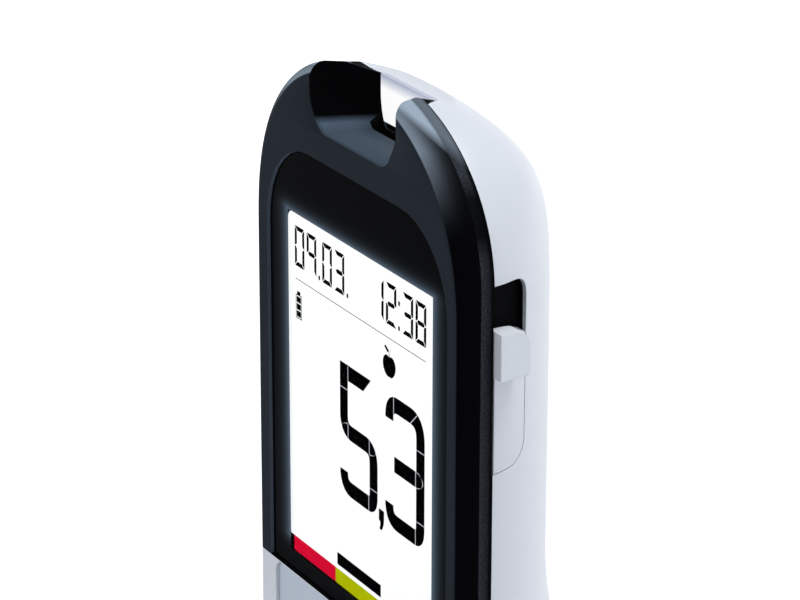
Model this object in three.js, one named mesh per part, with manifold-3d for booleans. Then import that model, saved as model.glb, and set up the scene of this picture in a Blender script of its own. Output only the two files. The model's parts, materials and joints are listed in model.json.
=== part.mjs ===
// A pocket blood glucose meter with a lancing unit plugged onto its lower end.
// Millimetres. Inside this file x runs to the right of the mid-plane, y is the depth behind the
// front face and z the height above the foot. The group moves that frame to the middle of the foot.
import * as THREE from "three";
import { mergeVertices } from "three/addons/utils/BufferGeometryUtils.js";
import Module from "manifold-3d";

const wasm = await Module();
wasm.setup();

// Driving dimensions of the whole case.
const sections = {
  display: 37.85, // crown to the lower edge of the dark front shell
  keypad: 39.15, // from there to the seam above the lancing unit
  lancing: 32, // from there to the seam above the end cap
  cap: 14, // from there to the foot
};
const cells = {
  radius: 10,
  thickness: 3.2,
  rim: 0.8,
  rimStep: 0.25,
  footClearance: 1.15, // above the floor of the meter's room
  front: 6.6,
  sideRoom: 3.95, // from the cell's edge to the outside of the case
  backRoom: 3, // from the two cells to the outside of the back
  contactThickness: 0.3,
  minusSize: 9,
  plusHeight: 7,
  plusWidth: 4.6,
};
const body = {
  height: sections.display + sections.keypad + sections.lancing + sections.cap,
  depth: cells.front + cells.thickness * 2 + cells.backRoom, // front face to back of the lower half
  headDepth: 11, // the same behind the display
  halfWidth: cells.radius + cells.sideRoom, // at the parting line, the widest place
  frontInset: 0.21, // draws the sides in where the front shoulder starts
  faceInset: 0.45, // and at the edge of the flat front face
  parting: 2.5, // depth of the seam between front and rear shells
  shoulder: 0.3, // depth of the rolled edge round the front face
  waist: 1.6, // depth where the smooth edge band ends
  swellStart: 6.85, // above the display's lower seam, where the back starts to thicken
  swellLength: 28,
};
const crown = {
  centreDrop: 10.68, // crown to the arch's centre at the front
  rise: 0.56, // of the arch's curve over the crown, which cuts it flat
  faceCentreDrop: 13.85, // the same centre for the edge of the flat front face
  faceDrop: 0.45,
  exponent: 2.05,
  faceExponent: 2.25,
  backInset: 8.3, // how far the sides draw in towards the back
  backDrop: 7.6, // how far the top draws down towards the back
  backCentreDrop: 10,
  exponentGain: 3.4,
  roundness: 1.5, // power of the side's curve in plan
  topRoundness: 1.2, // power of the top's curve in side view
};
const foot = {
  centre: 12, // height where the lower corners start to round
  bottom: -1.5, // lowest point of that curve, which the foot cuts flat
  exponent: 2.6,
  backInset: 7,
  backLift: 6,
  roundness: 2.2,
};
const shell = {
  wall: 1.2,
  frontWall: 1.8,
  gap: 0.3, // between two pieces that touch
  overrun: 3, // how far a cut runs past what it cuts
  bulkhead: 1.2, // wall between the plug's room and the drive spring
  plugClearance: 0.4,
};
const scoop = {
  mouthHalfWidth: 5.75, // at the front face
  throatHalfWidth: 3.7, // at the light guide
  floorDrop: 4.7, // crown to the floor of the scoop
  throatDepth: 4.07, // depth of the light guide's face
  cornerShares: [
    [0.62, 1],
    [0.79, 0.89],
    [0.89, 0.76],
    [0.96, 0.57],
    [0.99, 0.33],
  ], // rounded foot of the scoop, as shares of its half width and floor drop
  throatCornerShares: [
    [0.81, 1],
    [0.86, 0.93],
    [0.92, 0.81],
    [0.97, 0.62],
    [0.99, 0.33],
  ],
  linerWall: 0.85,
  linerFloor: 1.7,
  linerHalfWidth: 4.85,
};
const guide = { thickness: 1.2, bottomDrop: 3.95, stemHalfWidth: 1.4, stemBack: 0.4, stemThickness: 0.8 };
const strip = {
  halfWidth: 3.3,
  slotThickness: 0.77,
  connectorHalfWidth: 4.5,
  connectorHeight: 3.5,
  connectorFront: 2.7,
  connectorBack: 4.6,
  contactPitch: 2.2,
  contactWidth: 0.6,
  contactLength: 2.6,
  contactCount: 3,
  grooveWidth: 1.3,
  contactFront: 3.6,
};
const led = { halfWidth: 1.5, thickness: 0.8, height: 2 };
const display = {
  rimWidth: 1.75, // of the dark shell beside the window
  windowDrop: 6.8, // crown to the window's top edge
  windowCorner: 6.1,
  windowFront: 0.1,
  windowThickness: 0.4,
  border: 1.7, // from the window's edge to the display glass
  panelTopDrop: 10.9, // crown to the top of the display glass
  panelFootMargin: 1.75, // from the glass to the dark shell's lower edge
  panelFront: 0.9,
  panelThickness: 1.2,
  backlightThickness: 1,
  backlightFootLift: 2.6,
  connectorInset: 1.5,
  connectorHeight: 1.7,
};
const keys = {
  rimWidth: 2.55, // of the white housing beside the key panel
  panelFootMargin: 4,
  panelFront: 0.2,
  panelThickness: 0.7,
  panelCorner: 1.5,
  capSideMargin: 4.4, // from the panel's edge to a key
  capHeight: 8,
  capCorner: 3.9,
  capFront: 0.1,
  flangeSpace: 1, // between the two keys' flanges
  drop: 1, // of the pair under the panel's middle
  travel: 0.6,
  stopMargin: 0.1,
  flange: 1,
  flangeThickness: 0.5,
  stemRadius: 1.5,
  switchSize: 6,
  switchThickness: 0.7,
};
const board = {
  front: 4.9,
  thickness: 0.8,
  sideRoom: 3.75,
  corner: 6,
  crownDrop: 9,
};
const chips = {
  mainSize: 8,
  mainThickness: 0.9,
  mainLift: 6.85, // over the display's lower seam
  memorySize: 5,
  memoryThickness: 0.8,
  memoryDrop: 8.15,
};
const door = { overlap: 0.8, endOverlap: 2, corner: 4 };
const slider = {
  depth: 2.7, // of the flush plate, behind the seam
  plateTopDrop: 13,
  plateFootDrop: 22.5,
  thumbTopDrop: 12.9,
  thumbFootDrop: 16.75,
  thumbReach: 1.15, // how far the thumb piece stands out of the side
  thumbDepth: 3.35,
  plateThickness: 2,
  travel: 2.6,
  armFront: 3.75,
  armThickness: 0.8,
  armHeight: 2.5,
  armReach: 2, // past the mid-plane, under the strip
  armTopDrop: 13.2,
};
const ejectorSpring = { sideRoom: 2.95, radius: 0.55, wire: 0.26, length: 4.5, turns: 5 };
const springRib = { height: 1, halfWidth: 0.9, halfDepth: 0.8 };
const screws = {
  sideRoom: 5.75, // from the screw's axis to the side of the case
  drop: 5.15, // under the display's lower seam
  lancingSideRoom: 3.95,
  lancingDrop: 7, // under the seam above the lancing unit
  shankRadius: 0.7,
  headRadius: 1.7,
  headHeight: 1.1,
  seatDepth: 9,
  lancingSeatDepth: 11,
  tipDepth: 2.3,
  frontBossRadius: 2,
  rearBossRadius: 2.5,
  boardHoleRadius: 1.2,
  sides: 14,
};
const plug = {
  halfWidth: 6,
  thickness: 4.5,
  sheet: 0.3,
  reach: 12, // below the seam
  root: 1.9, // above it
  tongueThickness: 2.05,
  tongueInset: 0.6,
  contactWidth: 1,
  contactThickness: 0.2,
  contactLength: 11,
  contactPitch: 2.3,
  contactCount: 4,
};
const lancet = {
  bodyRadius: 2.6,
  bodyLength: 15.5,
  bodyOverlap: 11.5, // of the lancet in its carrier
  needleRadius: 0.3,
  needleReach: 2.5,
  carrierRadius: 3.5,
  carrierLength: 14.5,
  flangeRadius: 5,
  flangeThickness: 2,
  returnRoom: 6.65, // between the floor of the spring's room and the flange
  noseRadius: 4.9,
  noseBore: 3.9,
  noseLength: 8.35,
  holeRadius: 1.5,
  cockedTravel: 5,
  firedTravel: 2.5,
};
const driveSpring = { radius: 3.2, wire: 0.6, turns: 5 };
const returnSpring = { radius: 4.3, wire: 0.4, turns: 5 };
const cocker = {
  padHalfWidth: 4.5,
  padHeight: 8,
  padThickness: 1,
  padDrop: 2.5, // of the pad's foot under the carrier's flange
  backInset: 0.1,
  recess: 1.4,
  stemHalfWidth: 1.9,
  blockHalfWidth: 6.5,
  blockDepth: 1.8,
};
const trigger = {
  halfWidth: 3.8,
  height: 8,
  lift: 1.5, // over the carrier's flange
  corner: 3,
  front: 0.1,
  back: 2.1,
  travel: 0.8,
  fingerOuter: 6.5,
  fingerInner: 2.5,
  fingerThickness: 0.5,
};
const dial = {
  sideReach: 0.35, // out of the side of the case
  radius: 4.4,
  toothDepth: 0.3,
  teeth: 24,
  thickness: 3,
  lift: 2.15, // over the floor of the lancing unit's room
  bore: 1.1,
  pinRadius: 0.8,
};
const facets = { arch: 9, side: 3, swell: 5, corner: 5, back: 6, curve: 5, round: 24, wireSides: 5, turnSteps: 8 };

const crownHeight = (drop) => body.height - drop;
const displaySeam = crownHeight(sections.display);
const lancingSeam = sections.lancing + sections.cap;
const capSeam = sections.cap;
const halfGap = shell.gap / 2;
const meterFloor = lancingSeam + halfGap + shell.wall;
const lancingCeiling = lancingSeam - halfGap - shell.wall;
const lancingFloor = capSeam + halfGap + shell.wall;
const cellsHeight = meterFloor + cells.footClearance + cells.radius;
const swellTop = displaySeam + body.swellStart;
const swellFoot = swellTop - body.swellLength;
const plugFoot = lancingSeam - plug.reach;
const plugTop = lancingSeam + plug.root;
const bulkheadTop = plugFoot - shell.plugClearance;
const bulkheadHeight = bulkheadTop - shell.bulkhead;
const flangeFoot = lancingFloor + lancet.returnRoom;
const carrierTop = flangeFoot + lancet.flangeThickness;
const carrierFoot = carrierTop - lancet.carrierLength;
const lancetTop = carrierFoot + lancet.bodyOverlap;
const lancetFoot = lancetTop - lancet.bodyLength;
const padFoot = flangeFoot - cocker.padDrop;
const triggerFoot = flangeFoot + trigger.lift;
const dialX = body.halfWidth + dial.sideReach - dial.radius;
const dialFoot = lancingFloor + dial.lift;
const screwX = body.halfWidth - screws.sideRoom;
const screwHeight = displaySeam - screws.drop;
const lancingScrewX = body.halfWidth - screws.lancingSideRoom;
const lancingScrewHeight = lancingSeam - screws.lancingDrop;
const windowHalfWidth = body.halfWidth - display.rimWidth;
const glassHalfWidth = windowHalfWidth - display.border;
const keyPanelHalfWidth = body.halfWidth - keys.rimWidth;
const boardHalfWidth = body.halfWidth - board.sideRoom;
const ejectorSpringX = body.halfWidth - ejectorSpring.sideRoom;
const far = body.height + shell.overrun;
const floorHeight = crownHeight(scoop.floorDrop);
const stripMiddle = scoop.throatDepth - strip.slotThickness / 2;
const boardTop = crownHeight(board.crownDrop);
const boardBack = board.front + board.thickness;

// Materials, one for each kind of surface.
const looks = {
  darkShell: { color: 0x2a3038, roughness: 0.5, metalness: 0 },
  whiteShell: { color: 0xe6e8ec, roughness: 0.35, metalness: 0 },
  palePanel: { color: 0xdfe3ea, roughness: 0.45, metalness: 0 },
  glossBlack: { color: 0x050608, roughness: 0.08, metalness: 0 },
  litPanel: { color: 0xf7fafc, roughness: 0.3, metalness: 0 },
  board: { color: 0x1f6b3a, roughness: 0.6, metalness: 0 },
  chip: { color: 0x1a1a1c, roughness: 0.6, metalness: 0 },
  metal: { color: 0xc9ccd0, roughness: 0.28, metalness: 1 },
  gold: { color: 0xd9b25a, roughness: 0.3, metalness: 1 },
  thumbGrey: { color: 0xd2d8e2, roughness: 0.4, metalness: 0 },
  softGrey: { color: 0x7c838c, roughness: 0.8, metalness: 0 },
  blue: { color: 0x4f7fb5, roughness: 0.5, metalness: 0 },
};
const materialOf = (look) => new THREE.MeshStandardMaterial(looks[look]);

// Solids: a closed geometry becomes a solid that can be joined and cut.
function solid(geometry) {
  const bare = geometry.index ? geometry.toNonIndexed() : geometry;
  const positions = new THREE.BufferGeometry().setAttribute("position", bare.getAttribute("position"));
  const merged = mergeVertices(positions);
  return new wasm.Manifold(
    new wasm.Mesh({
      numProp: 3,
      vertProperties: new Float32Array(merged.attributes.position.array),
      triVerts: new Uint32Array(merged.index.array),
    }),
  );
}

function geometryOf(piece) {
  const mesh = piece.getMesh();
  const positions = new Float32Array(mesh.numVert * 3);
  for (let i = 0; i < mesh.numVert; i++) {
    const start = i * mesh.numProp;
    positions.set(mesh.vertProperties.subarray(start, start + 3), i * 3);
  }
  const geometry = new THREE.BufferGeometry();
  geometry.setAttribute("position", new THREE.BufferAttribute(positions, 3));
  geometry.setIndex(new THREE.BufferAttribute(new Uint32Array(mesh.triVerts), 1));
  geometry.computeVertexNormals();
  return geometry;
}

const join = (...pieces) => pieces.reduce((whole, piece) => whole.add(piece));
const cut = (piece, ...tools) => tools.reduce((rest, tool) => rest.subtract(tool), piece);

function box(x0, x1, y0, y1, z0, z1) {
  const geometry = new THREE.BoxGeometry(x1 - x0, y1 - y0, z1 - z0);
  geometry.translate((x0 + x1) / 2, (y0 + y1) / 2, (z0 + z1) / 2);
  return solid(geometry);
}

const slab = (y0, y1, z0, z1) => box(-far, far, y0, y1, z0, z1);

// A round bar along z, and one along y.
function uprightBar(x, y, radius, z0, z1, sides = facets.round) {
  const geometry = new THREE.CylinderGeometry(radius, radius, z1 - z0, sides);
  geometry.rotateX(Math.PI / 2);
  geometry.translate(x, y, (z0 + z1) / 2);
  return solid(geometry);
}

function depthBar(x, z, radius, y0, y1, sides = facets.round) {
  const geometry = new THREE.CylinderGeometry(radius, radius, y1 - y0, sides);
  geometry.translate(x, (y0 + y1) / 2, z);
  return solid(geometry);
}

// A plate parallel to the front face, from an outline in x and z.
function plate(outline, y0, y1) {
  const geometry = new THREE.ExtrudeGeometry(outline, {
    depth: y1 - y0,
    bevelEnabled: false,
    curveSegments: facets.curve,
  });
  geometry.rotateX(Math.PI / 2);
  geometry.translate(0, y1, 0);
  return solid(geometry);
}

function roundedOutline(halfWidth, z0, z1, topCorner, footCorner = topCorner) {
  const outline = new THREE.Shape();
  outline.moveTo(-halfWidth + footCorner, z0);
  outline.lineTo(halfWidth - footCorner, z0);
  if (footCorner > 0) outline.absarc(halfWidth - footCorner, z0 + footCorner, footCorner, -Math.PI / 2, 0);
  outline.lineTo(halfWidth, z1 - topCorner);
  outline.absarc(halfWidth - topCorner, z1 - topCorner, topCorner, 0, Math.PI / 2);
  outline.lineTo(-halfWidth + topCorner, z1);
  outline.absarc(-halfWidth + topCorner, z1 - topCorner, topCorner, Math.PI / 2, Math.PI);
  outline.lineTo(-halfWidth, z0 + footCorner);
  if (footCorner > 0) outline.absarc(-halfWidth + footCorner, z0 + footCorner, footCorner, Math.PI, Math.PI * 1.5);
  return outline;
}

// A closed skin over rings of points. Each ring runs up the right side and down the left,
// so the two ends are closed by rungs from side to side.
function loft(rings) {
  const count = rings[0].length;
  const corners = [];
  const quad = (a, b, c, d) => corners.push(a, b, c, a, c, d);
  for (let i = 0; i + 1 < rings.length; i++)
    for (let j = 0; j < count; j++) {
      const next = (j + 1) % count;
      quad(rings[i][j], rings[i + 1][j], rings[i + 1][next], rings[i][next]);
    }
  const first = rings[0];
  const last = rings[rings.length - 1];
  for (let j = 0; j + 1 < count / 2; j++) {
    const mate = count - 1 - j;
    quad(first[j], first[j + 1], first[mate - 1], first[mate]);
    quad(last[j], last[mate], last[mate - 1], last[j + 1]);
  }
  const geometry = new THREE.BufferGeometry();
  geometry.setAttribute("position", new THREE.Float32BufferAttribute(corners.flat(), 3));
  return solid(geometry);
}

const mirrored = (half) => [...half, ...half.map(([x, y, z]) => [-x, y, z]).reverse()];
const mix = (a, b, share) => a + (b - a) * share;
const smooth = (share) => share * share * (3 - 2 * share);

// How much of the lower half's full depth the back has at a height.
function swellShare(z) {
  const share = (swellTop - z) / body.swellLength;
  return smooth(Math.min(1, Math.max(0, share)));
}

// One ring of the case's skin, shrunk by an inset on every side.
function caseRing(ring, inset) {
  const half = [];
  const footHeight = foot.bottom + ring.footLift + inset;
  for (let i = facets.corner; i > 0; i--) {
    const angle = (i / facets.corner) * Math.PI * 0.45;
    const x = (ring.lowHalfWidth - inset) * Math.cos(angle) ** (2 / foot.exponent);
    const drop = (foot.centre - footHeight) * Math.sin(angle) ** (2 / foot.exponent);
    half.push([x, ring.lowDepth, Math.max(foot.centre - drop, inset)]);
  }
  const heights = [];
  for (let i = 0; i <= facets.side; i++) heights.push(mix(foot.centre, swellFoot, i / facets.side));
  for (let i = 1; i <= facets.swell; i++) heights.push(mix(swellFoot, swellTop, i / facets.swell));
  for (const z of heights) {
    const share = swellShare(z);
    const x = mix(ring.headHalfWidth, ring.lowHalfWidth, share) - inset;
    half.push([x, mix(ring.headDepth, ring.lowDepth, share), z]);
  }
  const rise = ring.archTop - inset - ring.archCentre;
  for (let i = 0; i <= facets.arch; i++) {
    const angle = (i / facets.arch) * Math.PI * 0.46;
    const x = (ring.headHalfWidth - inset) * Math.cos(angle) ** (2 / ring.archExponent);
    const z = ring.archCentre + rise * Math.sin(angle) ** (2 / ring.archExponent);
    half.push([x, ring.headDepth, Math.min(z, body.height - inset)]);
  }
  return mirrored(half);
}

function flatRing(depth, halfWidth, archCentre, archTop, archExponent) {
  return {
    headHalfWidth: halfWidth,
    lowHalfWidth: halfWidth,
    headDepth: depth,
    lowDepth: depth,
    footLift: 0,
    archCentre,
    archTop,
    archExponent,
  };
}

const archCentre = crownHeight(crown.centreDrop);
const archTop = body.height + crown.rise;
const frontHalfWidth = body.halfWidth - body.frontInset;
const frontRing = (depth, halfWidth) => flatRing(depth, halfWidth, archCentre, archTop, crown.exponent);

// The back's rings follow a rounded bowl from the parting line to the flat of the back.
function backRing(turn, inset) {
  const curve = (power) => 1 - Math.cos(turn) ** (2 / power);
  const reach = (depth, power) => body.parting + (depth - inset - body.parting) * Math.sin(turn) ** (2 / power);
  const sideShare = curve(crown.roundness);
  const lowShare = curve(foot.roundness);
  return {
    headHalfWidth: body.halfWidth - crown.backInset * sideShare,
    lowHalfWidth: body.halfWidth - foot.backInset * lowShare,
    headDepth: reach(body.headDepth, crown.roundness),
    lowDepth: reach(body.depth, foot.roundness),
    footLift: foot.backLift * lowShare,
    archCentre: archCentre - crown.backCentreDrop * sideShare,
    archTop: archTop - crown.backDrop * curve(crown.topRoundness),
    archExponent: crown.exponent + crown.exponentGain * sideShare,
  };
}

function backRings(inset) {
  const rings = [];
  for (let i = 0; i <= facets.back; i++) rings.push(backRing((i / facets.back) * (Math.PI / 2), inset));
  return rings;
}

const outerCase = loft(
  [
    flatRing(
      0,
      body.halfWidth - body.faceInset,
      crownHeight(crown.faceCentreDrop),
      crownHeight(crown.faceDrop),
      crown.faceExponent,
    ),
    frontRing(body.shoulder, frontHalfWidth),
    frontRing(body.waist, (frontHalfWidth + body.halfWidth) / 2),
    ...backRings(0),
  ].map((ring) => caseRing(ring, 0)),
);
const innerCase = loft(
  [frontRing(shell.frontWall, frontHalfWidth), ...backRings(shell.wall)].map((ring) =>
    caseRing(ring, shell.wall),
  ),
);

// The case with its three rooms: the meter, the lancing unit and the end cap.
const room = (z0, z1) => innerCase.intersect(slab(0, far, z0, z1));
const hollowCase = cut(
  outerCase,
  room(meterFloor, far),
  room(bulkheadTop, lancingCeiling),
  room(lancingFloor, bulkheadHeight),
  room(shell.wall, capSeam + halfGap),
);
const frontDepth = body.parting - halfGap;
const rearDepth = body.parting + halfGap;
const frontOf = (z0, z1) => hollowCase.intersect(slab(-shell.overrun, frontDepth, z0, z1));
const rearOf = (z0, z1) => hollowCase.intersect(slab(rearDepth, far, z0, z1));

// The scoop at the crown that leads a test strip into its slot.
function scoopRing(depth, halfWidth, cornerShares, grow) {
  const half = cornerShares.map(([across, down]) => [
    (halfWidth + grow) * across,
    depth,
    crownHeight(scoop.floorDrop * down) - grow * 2 * down,
  ]);
  half.push([halfWidth + grow, depth, body.height + shell.overrun]);
  return mirrored(half);
}

function scoopSolid(grow) {
  const taper = (scoop.throatHalfWidth - scoop.mouthHalfWidth) / scoop.throatDepth;
  const mouth = scoop.mouthHalfWidth - taper * shell.overrun;
  return loft([
    scoopRing(-shell.overrun, mouth, scoop.cornerShares, grow),
    scoopRing(0, scoop.mouthHalfWidth, scoop.cornerShares, grow),
    scoopRing(scoop.throatDepth, scoop.throatHalfWidth, scoop.throatCornerShares, grow),
  ]);
}

const linerFoot = floorHeight - scoop.linerFloor;
const pocketBack = scoop.throatDepth + guide.thickness + shell.gap;
const linerBack = pocketBack + scoop.linerWall;
const guideFoot = crownHeight(guide.bottomDrop);

function linerBlock(grow) {
  const backBox = box(
    -scoop.linerHalfWidth - grow,
    scoop.linerHalfWidth + grow,
    body.shoulder,
    linerBack + grow,
    linerFoot - grow,
    far,
  );
  return join(backBox, scoopSolid(scoop.linerWall + grow)).intersect(
    slab(body.shoulder, linerBack + grow, linerFoot - grow, far),
  );
}

const stemFront = scoop.throatDepth + guide.stemBack;
const stemBack = stemFront + guide.stemThickness;
const stemBox = (grow) =>
  box(
    -guide.stemHalfWidth - grow,
    guide.stemHalfWidth + grow,
    stemFront - grow,
    stemBack + grow,
    boardTop + led.height + shell.gap * 2 - grow,
    guideFoot + shell.gap,
  );
const stripSlot = (halfWidth, z0, z1) =>
  box(-halfWidth, halfWidth, stripMiddle - strip.slotThickness / 2, scoop.throatDepth, z0, z1);

const windowTop = crownHeight(display.windowDrop);
const windowOutline = (grow, z0) =>
  roundedOutline(windowHalfWidth + grow, z0, windowTop + grow, display.windowCorner + grow, 0);
const windowBack = display.windowFront + display.windowThickness;
const panelTop = crownHeight(display.panelTopDrop);
const panelFoot = displaySeam + display.panelFootMargin;
const panelBack = display.panelFront + display.panelThickness;

function frontShell() {
  const face = join(frontOf(displaySeam, far), outerCase.intersect(linerBlock(0)));
  const pocket = box(
    -scoop.throatHalfWidth - shell.gap,
    scoop.throatHalfWidth + shell.gap,
    scoop.throatDepth,
    pocketBack,
    guideFoot - shell.gap,
    far,
  );
  const windowSeat = plate(
    windowOutline(shell.gap, displaySeam - shell.overrun),
    -shell.overrun,
    windowBack + shell.gap,
  );
  const displayHole = box(
    -glassHalfWidth - shell.gap,
    glassHalfWidth + shell.gap,
    0,
    frontDepth,
    panelFoot - shell.gap,
    panelTop + shell.gap,
  );
  return cut(
    face,
    scoopSolid(0),
    pocket,
    windowSeat,
    displayHole,
    stripSlot(strip.halfWidth, linerFoot - shell.overrun, floorHeight + shell.overrun),
    stemBox(shell.gap),
  ).subtract(slab(-far, far, 0, displaySeam));
}

function lightGuide() {
  const block = box(
    -scoop.throatHalfWidth,
    scoop.throatHalfWidth,
    scoop.throatDepth,
    scoop.throatDepth + guide.thickness,
    guideFoot,
    far,
  );
  return join(outerCase.intersect(block), stemBox(0));
}

const connectorTop = linerFoot - shell.gap;
const connectorFoot = connectorTop - strip.connectorHeight;
const contactX = (index) => (index - (strip.contactCount - 1) / 2) * strip.contactPitch;

function stripConnector() {
  const block = box(
    -strip.connectorHalfWidth,
    strip.connectorHalfWidth,
    strip.connectorFront,
    strip.connectorBack,
    connectorFoot,
    connectorTop,
  );
  const grooves = [];
  for (let i = 0; i < strip.contactCount; i++)
    grooves.push(
      box(
        contactX(i) - strip.grooveWidth / 2,
        contactX(i) + strip.grooveWidth / 2,
        stripMiddle,
        strip.connectorBack + shell.overrun,
        connectorFoot + strip.connectorHeight / 8,
        connectorTop + shell.overrun,
      ),
    );
  return cut(block, stripSlot(strip.halfWidth, connectorFoot - shell.overrun, far), ...grooves);
}

function stripContact(index) {
  const z0 = connectorFoot + strip.connectorHeight / 8 + shell.gap;
  const x0 = contactX(index) - strip.contactWidth / 2;
  const x1 = contactX(index) + strip.contactWidth / 2;
  return box(x0, x1, strip.contactFront, strip.connectorBack, z0, z0 + strip.contactLength);
}

// The keys under the display: each cap has a flange behind the wall and a stem to its switch.
const panelSeatTop = displaySeam - halfGap;
const keyPanelFoot = lancingSeam + keys.panelFootMargin;
const keysMiddle = (keyPanelFoot + panelSeatTop) / 2 - keys.drop;
const keyStep = keys.capHeight + keys.flange * 2 + keys.flangeSpace;
const keyHeights = { button_up: keysMiddle + keyStep / 2, button_down: keysMiddle - keyStep / 2 };
const capHalfWidth = keyPanelHalfWidth - keys.capSideMargin;
const keyOutline = (height, grow) =>
  roundedOutline(
    capHalfWidth + grow,
    height - keys.capHeight / 2 - grow,
    height + keys.capHeight / 2 + grow,
    keys.capCorner,
  );
const keyHole = (height) => plate(keyOutline(height, shell.gap), -shell.overrun, frontDepth);
const switchFront = board.front - shell.gap - keys.switchThickness;
const stemEnd = switchFront - keys.travel - keys.stopMargin;
const flangeFront = shell.frontWall + shell.gap;

function keyCap(height) {
  const flange = plate(keyOutline(height, keys.flange), flangeFront, flangeFront + keys.flangeThickness);
  const stem = depthBar(0, height, keys.stemRadius, flangeFront, stemEnd);
  return join(plate(keyOutline(height, 0), keys.capFront, flangeFront + keys.flangeThickness), flange, stem);
}

function keySwitch(height) {
  const half = keys.switchSize / 2;
  return box(-half, half, switchFront, board.front - shell.gap, height - half, height + half);
}

const keyPanelBack = keys.panelFront + keys.panelThickness;
const keyPanelOutline = (grow) =>
  roundedOutline(
    keyPanelHalfWidth + grow,
    keyPanelFoot - grow,
    panelSeatTop - shell.gap + grow * 2,
    keys.panelCorner / 2,
    keys.panelCorner,
  );

function keyPanel() {
  return cut(
    plate(keyPanelOutline(0), keys.panelFront, keyPanelBack),
    ...Object.values(keyHeights).map(keyHole),
  );
}

const frontBoss = (x, z) =>
  cut(
    depthBar(x, z, screws.frontBossRadius, body.shoulder + keyPanelBack, board.front - shell.gap),
    depthBar(x, z, screws.shankRadius + shell.gap, screws.tipDepth - shell.gap, far, screws.sides),
  );

function lowerFrontHousing() {
  const seat = plate(keyPanelOutline(shell.gap), -shell.overrun, keyPanelBack + shell.gap);
  const bosses = [-screwX, screwX].map((x) => frontBoss(x, screwHeight));
  return cut(
    join(cut(frontOf(lancingSeam + halfGap, panelSeatTop - halfGap), seat), ...bosses),
    ...Object.values(keyHeights).map(keyHole),
    plugHole(),
  );
}

// A screw from the back: its head sits in a counterbore and its tip in a boss of the front shell.
function screw(x, z, seat) {
  return join(
    depthBar(x, z, screws.shankRadius, screws.tipDepth, seat + screws.headHeight / 2, screws.sides),
    depthBar(x, z, screws.headRadius, seat + shell.gap, seat + shell.gap + screws.headHeight, screws.sides),
  );
}

function withRearBoss(piece, x, z, seat, bossFront) {
  const boss = depthBar(x, z, screws.rearBossRadius, bossFront, far).intersect(outerCase);
  return cut(
    piece.add(boss),
    depthBar(x, z, screws.headRadius + shell.gap, seat, far, screws.sides),
    depthBar(x, z, screws.shankRadius + shell.gap, 0, far, screws.sides),
  );
}

// The push-up slider on the right side lifts the used strip out of its slot.
const sideOpening = box(
  body.halfWidth - slider.plateThickness - shell.gap,
  far,
  0,
  rearDepth + slider.depth + shell.gap,
  crownHeight(slider.plateFootDrop) - shell.gap,
  crownHeight(slider.thumbTopDrop) + slider.travel + shell.gap / 2,
);
const armTop = crownHeight(slider.armTopDrop);
const armMiddle = slider.armFront + slider.armThickness / 2;

function ejectorSlider() {
  const plateBox = box(
    body.halfWidth - slider.plateThickness,
    far,
    rearDepth,
    rearDepth + slider.depth,
    crownHeight(slider.plateFootDrop),
    crownHeight(slider.plateTopDrop),
  );
  const root = body.halfWidth - slider.plateThickness / 2;
  const outer = body.halfWidth + slider.thumbReach;
  const bevel = slider.thumbReach / 3;
  const profile = new THREE.Shape([
    new THREE.Vector2(root, rearDepth),
    new THREE.Vector2(outer - bevel, rearDepth),
    new THREE.Vector2(outer, rearDepth + bevel),
    new THREE.Vector2(outer - bevel, rearDepth + slider.depth * 0.8),
    new THREE.Vector2(root + bevel * 2, rearDepth + slider.thumbDepth),
    new THREE.Vector2(root + bevel, rearDepth + slider.thumbDepth),
    new THREE.Vector2(root, rearDepth + slider.depth),
  ]);
  const thumb = new THREE.ExtrudeGeometry(profile, {
    depth: slider.thumbFootDrop - slider.thumbTopDrop,
    bevelEnabled: false,
  });
  thumb.translate(0, 0, crownHeight(slider.thumbFootDrop));
  const arm = box(
    -slider.armReach,
    root,
    slider.armFront,
    slider.armFront + slider.armThickness,
    armTop - slider.armHeight,
    armTop,
  );
  return join(outerCase.intersect(plateBox), solid(thumb), arm);
}

// Wound wire: straight for one wire diameter at each end and a helix between.
function helixPoints(spring, x, y, z0, z1) {
  const steps = spring.turns * facets.turnSteps;
  const start = z0 + spring.wire;
  const rise = z1 - z0 - spring.wire * 2;
  const points = [];
  for (let i = 0; i <= steps; i++) {
    const angle = (i / facets.turnSteps) * Math.PI * 2;
    points.push({ angle, z: start + (rise * i) / steps, slope: rise / steps });
  }
  const last = points[points.length - 1];
  const ends = [
    { angle: 0, z: z0, slope: Infinity },
    ...points,
    { angle: last.angle, z: z1, slope: Infinity },
  ];
  const chord = (spring.radius * Math.PI * 2) / facets.turnSteps;
  return ends.map((point) => {
    const out = new THREE.Vector3(Math.cos(point.angle), Math.sin(point.angle), 0);
    const along = new THREE.Vector3(-out.y * chord, out.x * chord, point.slope);
    if (point.slope === Infinity) along.set(0, 0, 1);
    return {
      centre: new THREE.Vector3(x, y, point.z).addScaledVector(out, spring.radius),
      out,
      across: along.normalize().clone().cross(out),
    };
  });
}

function woundSpring(name, spring, x, y, z0, z1) {
  const path = helixPoints(spring, x, y, z0, z1);
  const rings = path.map(({ centre, out, across }) => {
    const ring = [];
    for (let i = 0; i < facets.wireSides; i++) {
      const angle = (i / facets.wireSides) * Math.PI * 2;
      ring.push(
        centre
          .clone()
          .addScaledVector(out, (Math.cos(angle) * spring.wire) / 2)
          .addScaledVector(across, (Math.sin(angle) * spring.wire) / 2),
      );
    }
    return ring;
  });
  reportLeastGap(name, spring, path);
  return solid(tubeSkin(rings));
}

// The least clear space between stretches of wire at least half a turn apart.
function reportLeastGap(name, spring, path) {
  let least = Infinity;
  for (let i = 0; i < path.length; i++)
    for (let j = i + facets.turnSteps / 2; j < path.length; j++)
      least = Math.min(least, path[i].centre.distanceTo(path[j].centre) - spring.wire);
  console.log(`${name}: least gap between turns ${least.toFixed(2)} mm`);
}

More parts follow.
